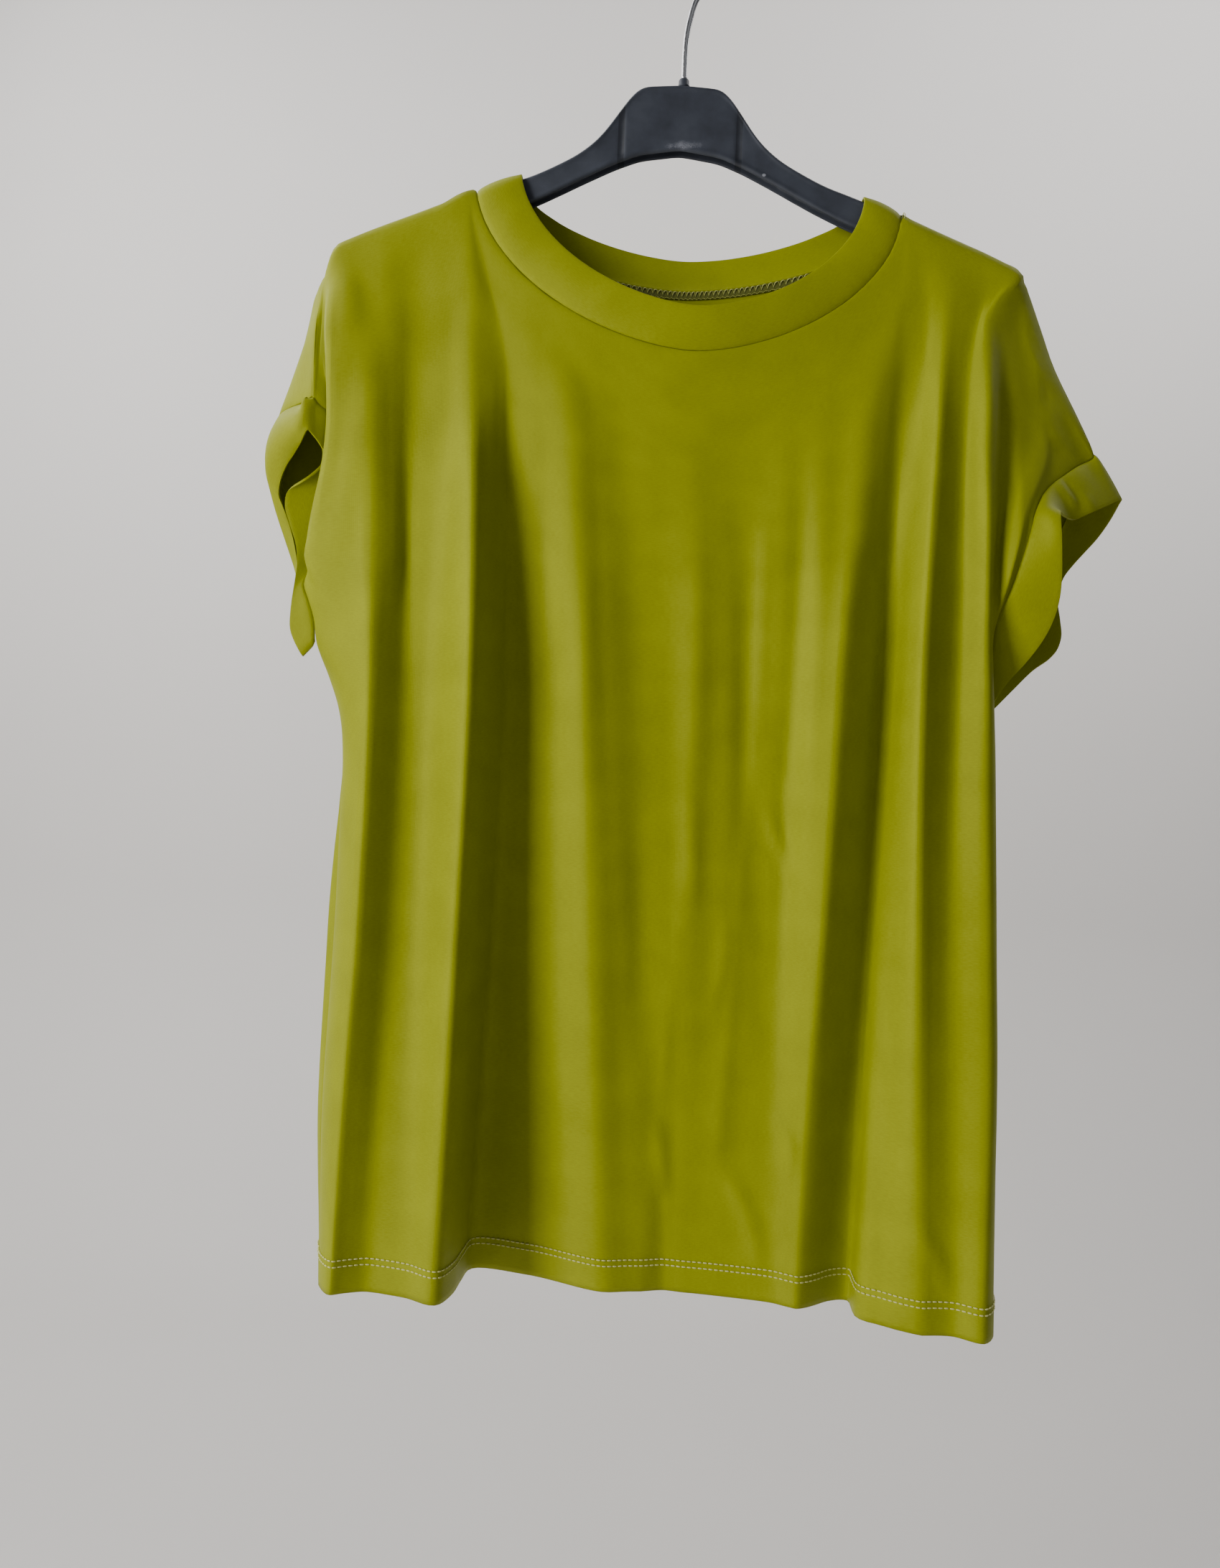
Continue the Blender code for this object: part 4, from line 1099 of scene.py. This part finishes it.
def make_hook():
    """The wire along its smooth route. Over the tip its radius falls as sqrt(1.02 - end^2)."""
    a = np.radians(np.arange(CROOK_FROM, CROOK_TO + CROOK_STEP, CROOK_STEP))
    arc = np.stack((CROOK_RADIUS * np.cos(a), CROOK_DROP + CROOK_RADIUS * np.sin(a)), axis=-1)
    route = np.concatenate((STEM, arc)) * MM
    length = path_lengths(route)
    x, z = (curve_weights(length, np.linspace(0.0, length[-1], HOOK_RINGS)) @ route).T
    path = np.stack((x, np.zeros_like(x), z), axis=-1)
    end = np.linspace(0.0, 1.0, 6)[1:]
    tip = path[-1] + unit(path[-1] - path[-2]) * TIP_LENGTH * end[:, None]
    radius = np.concatenate((np.full(len(path), WIRE_RADIUS), WIRE_RADIUS * np.sqrt(1.02 - end ** 2)))
    return add_rods("hanger_hook", [rod_points(np.concatenate((path, tip)), radius, HOOK_SIDES)], steel)


def make_socket():
    """The collar's profile turned about the stem."""
    low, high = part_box("hook_socket")
    profile = np.array(SOCKET_PROFILE) * MM
    a = np.linspace(0, 2 * np.pi, SOCKET_SIDES, endpoint=False)
    radius, height = profile[:, :1], profile[:, 1:]
    rings = np.stack(np.broadcast_arrays(radius * np.cos(a), radius * np.sin(a), height), axis=-1)
    rings += ((low.x + high.x) / 2, 0.0, low.z)
    return add_rods("hanger_socket", [rings[::-1]], plastic)


hanger_hook = make_hook()
hanger_socket = make_socket()

# %% [markdown]
# ## Stage and light
#
# A plain pale floor runs up into a plain wall, far enough behind for its shadow not to show. The
# light in the picture comes from a large window on the left, a little in front of the top: the left
# flank of each fold is bright and the right one dark. A weak light on the right keeps the dark
# sides green.

# %% Floor and lights
FLOOR_Z = -1.35
WALL_Y, WALL_TOP = 1.7, 2.5
COVE_RADIUS = 0.6
STAGE_WIDTH = 9.0
STAGE_FRONT = -3.5
BACKDROP = (0.74, 0.715, 0.69)


def make_stage():
    """Floor and wall as one sheet: a line, a quarter circle and a line, carried along X."""
    a = np.linspace(0.0, np.pi / 2, 24)
    bend = np.stack((WALL_Y - COVE_RADIUS + COVE_RADIUS * np.sin(a),
                     FLOOR_Z + COVE_RADIUS - COVE_RADIUS * np.cos(a)), axis=-1)
    profile = np.concatenate(([(STAGE_FRONT, FLOOR_Z)], bend, [(WALL_Y, WALL_TOP)]))
    x = np.array([[-STAGE_WIDTH / 2, STAGE_WIDTH / 2]])
    points = np.stack(np.broadcast_arrays(x, profile[:, :1], profile[:, 1:]), axis=-1)
    material, tree = new_material("pale_wall")
    place = node(tree, "TexCoord").outputs["Object"]
    paint = noise(tree, place, 1.3, 3.0)
    colour = ramp(tree, paint, (0.3, shaded(BACKDROP, 0.96)), (0.7, BACKDROP))
    finish_material(tree, Base_Color=colour, Roughness=0.9)
    add_grid("stage", points, points[..., :2] * 0.0, material)


def add_light(name, place, target, size, power, colour=(1.0, 1.0, 1.0)):
    """A rectangular area light at a place, turned to a target."""
    data = bpy.data.lights.new(name, "AREA")
    data.shape = "RECTANGLE"
    data.size, data.size_y = size
    data.energy = power
    data.color = colour
    forward = unit(np.array(target, float) - place)
    side = unit(np.cross(forward, (0.0, 0.0, 1.0)))
    up = np.cross(side, forward)
    rows = [[side[i], up[i], -forward[i], place[i]] for i in range(3)]
    add_object(name, data).matrix_world = Matrix(rows + [[0, 0, 0, 1]])


make_stage()
add_light("window", (-2.03, -1.47, 0.0), (0.0, 0.0, -0.5), (0.9, 2.0), 58.0, (1.0, 0.99, 0.97))
add_light("room", (1.2, -2.4, 0.6), (0.0, 0.0, -0.5), (2.0, 2.0), 3.0)
add_light("wall_left", (-1.2, 0.5, 0.7), (0.0, WALL_Y, -0.6), (1.5, 1.5), 26.0)
add_light("wall_right", (1.1, 0.6, 1.1), (0.5, WALL_Y, 0.3), (1.2, 1.2), 22.0)
world = bpy.data.worlds.new("room")
world.use_nodes = True
background = world.node_tree.nodes["Background"]
background.inputs["Color"].default_value = (0.9, 0.92, 1.0, 1.0)
background.inputs["Strength"].default_value = 0.10
bpy.context.scene.world = world

# %% [markdown]
# ## Pieces on the body
#
# Every piece rides on the part's one body, and the solids of the cloth and the hanger are hidden. For
# each cloth piece a grid of points of its sheet and the sheet's area, measured along the cloth and
# not across the folds, are worked out.

# %% Pieces on the body
CLOTH = {
    "front": (front_panel, sheets["front"], "hanger"),
    "back": (back_panel, sheets["back"], "hanger"),
    "neckband": (neck_band, neck_sheet, "hanger"),
    "left_cuff": (left_band, left_sheet, "front"),
    "right_cuff": (right_band, right_sheet, "front"),
}


ALMOST_ROUND = 0.99999


def sampled(sheet, rows, cols):
    """A grid of points of a sheet. It ends just short of where a ring starts again."""
    down = np.linspace(0, sheet.long, rows)
    return sheet.at(down, np.linspace(0, sheet.wide * ALMOST_ROUND, cols))


def sheet_area(points):
    """Area of a grid of points, from the cross products of its cells' sides."""
    a = points[1:, :-1] - points[:-1, :-1]
    b = points[:-1, 1:] - points[:-1, :-1]
    return np.linalg.norm(np.cross(a, b), axis=-1).sum()


for node_name, (piece, sheet, holder) in CLOTH.items():
    points = sampled(sheet, 60, 90)
    area = sheet_area(sampled(sheet, 120, 160))
    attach(piece, "root")
    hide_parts(node_name)
for piece in (front_stitches, back_stitches, *overlock, *side_seams):
    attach(piece, "root")
for piece, node_name, slot in ((hanger_body, "hanger", "hanger_plastic"),
                               (hanger_socket, "hook_socket", "hanger_plastic"),
                               (hanger_hook, "hook", "hook_steel")):
    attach(piece, "root")
    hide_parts(node_name)
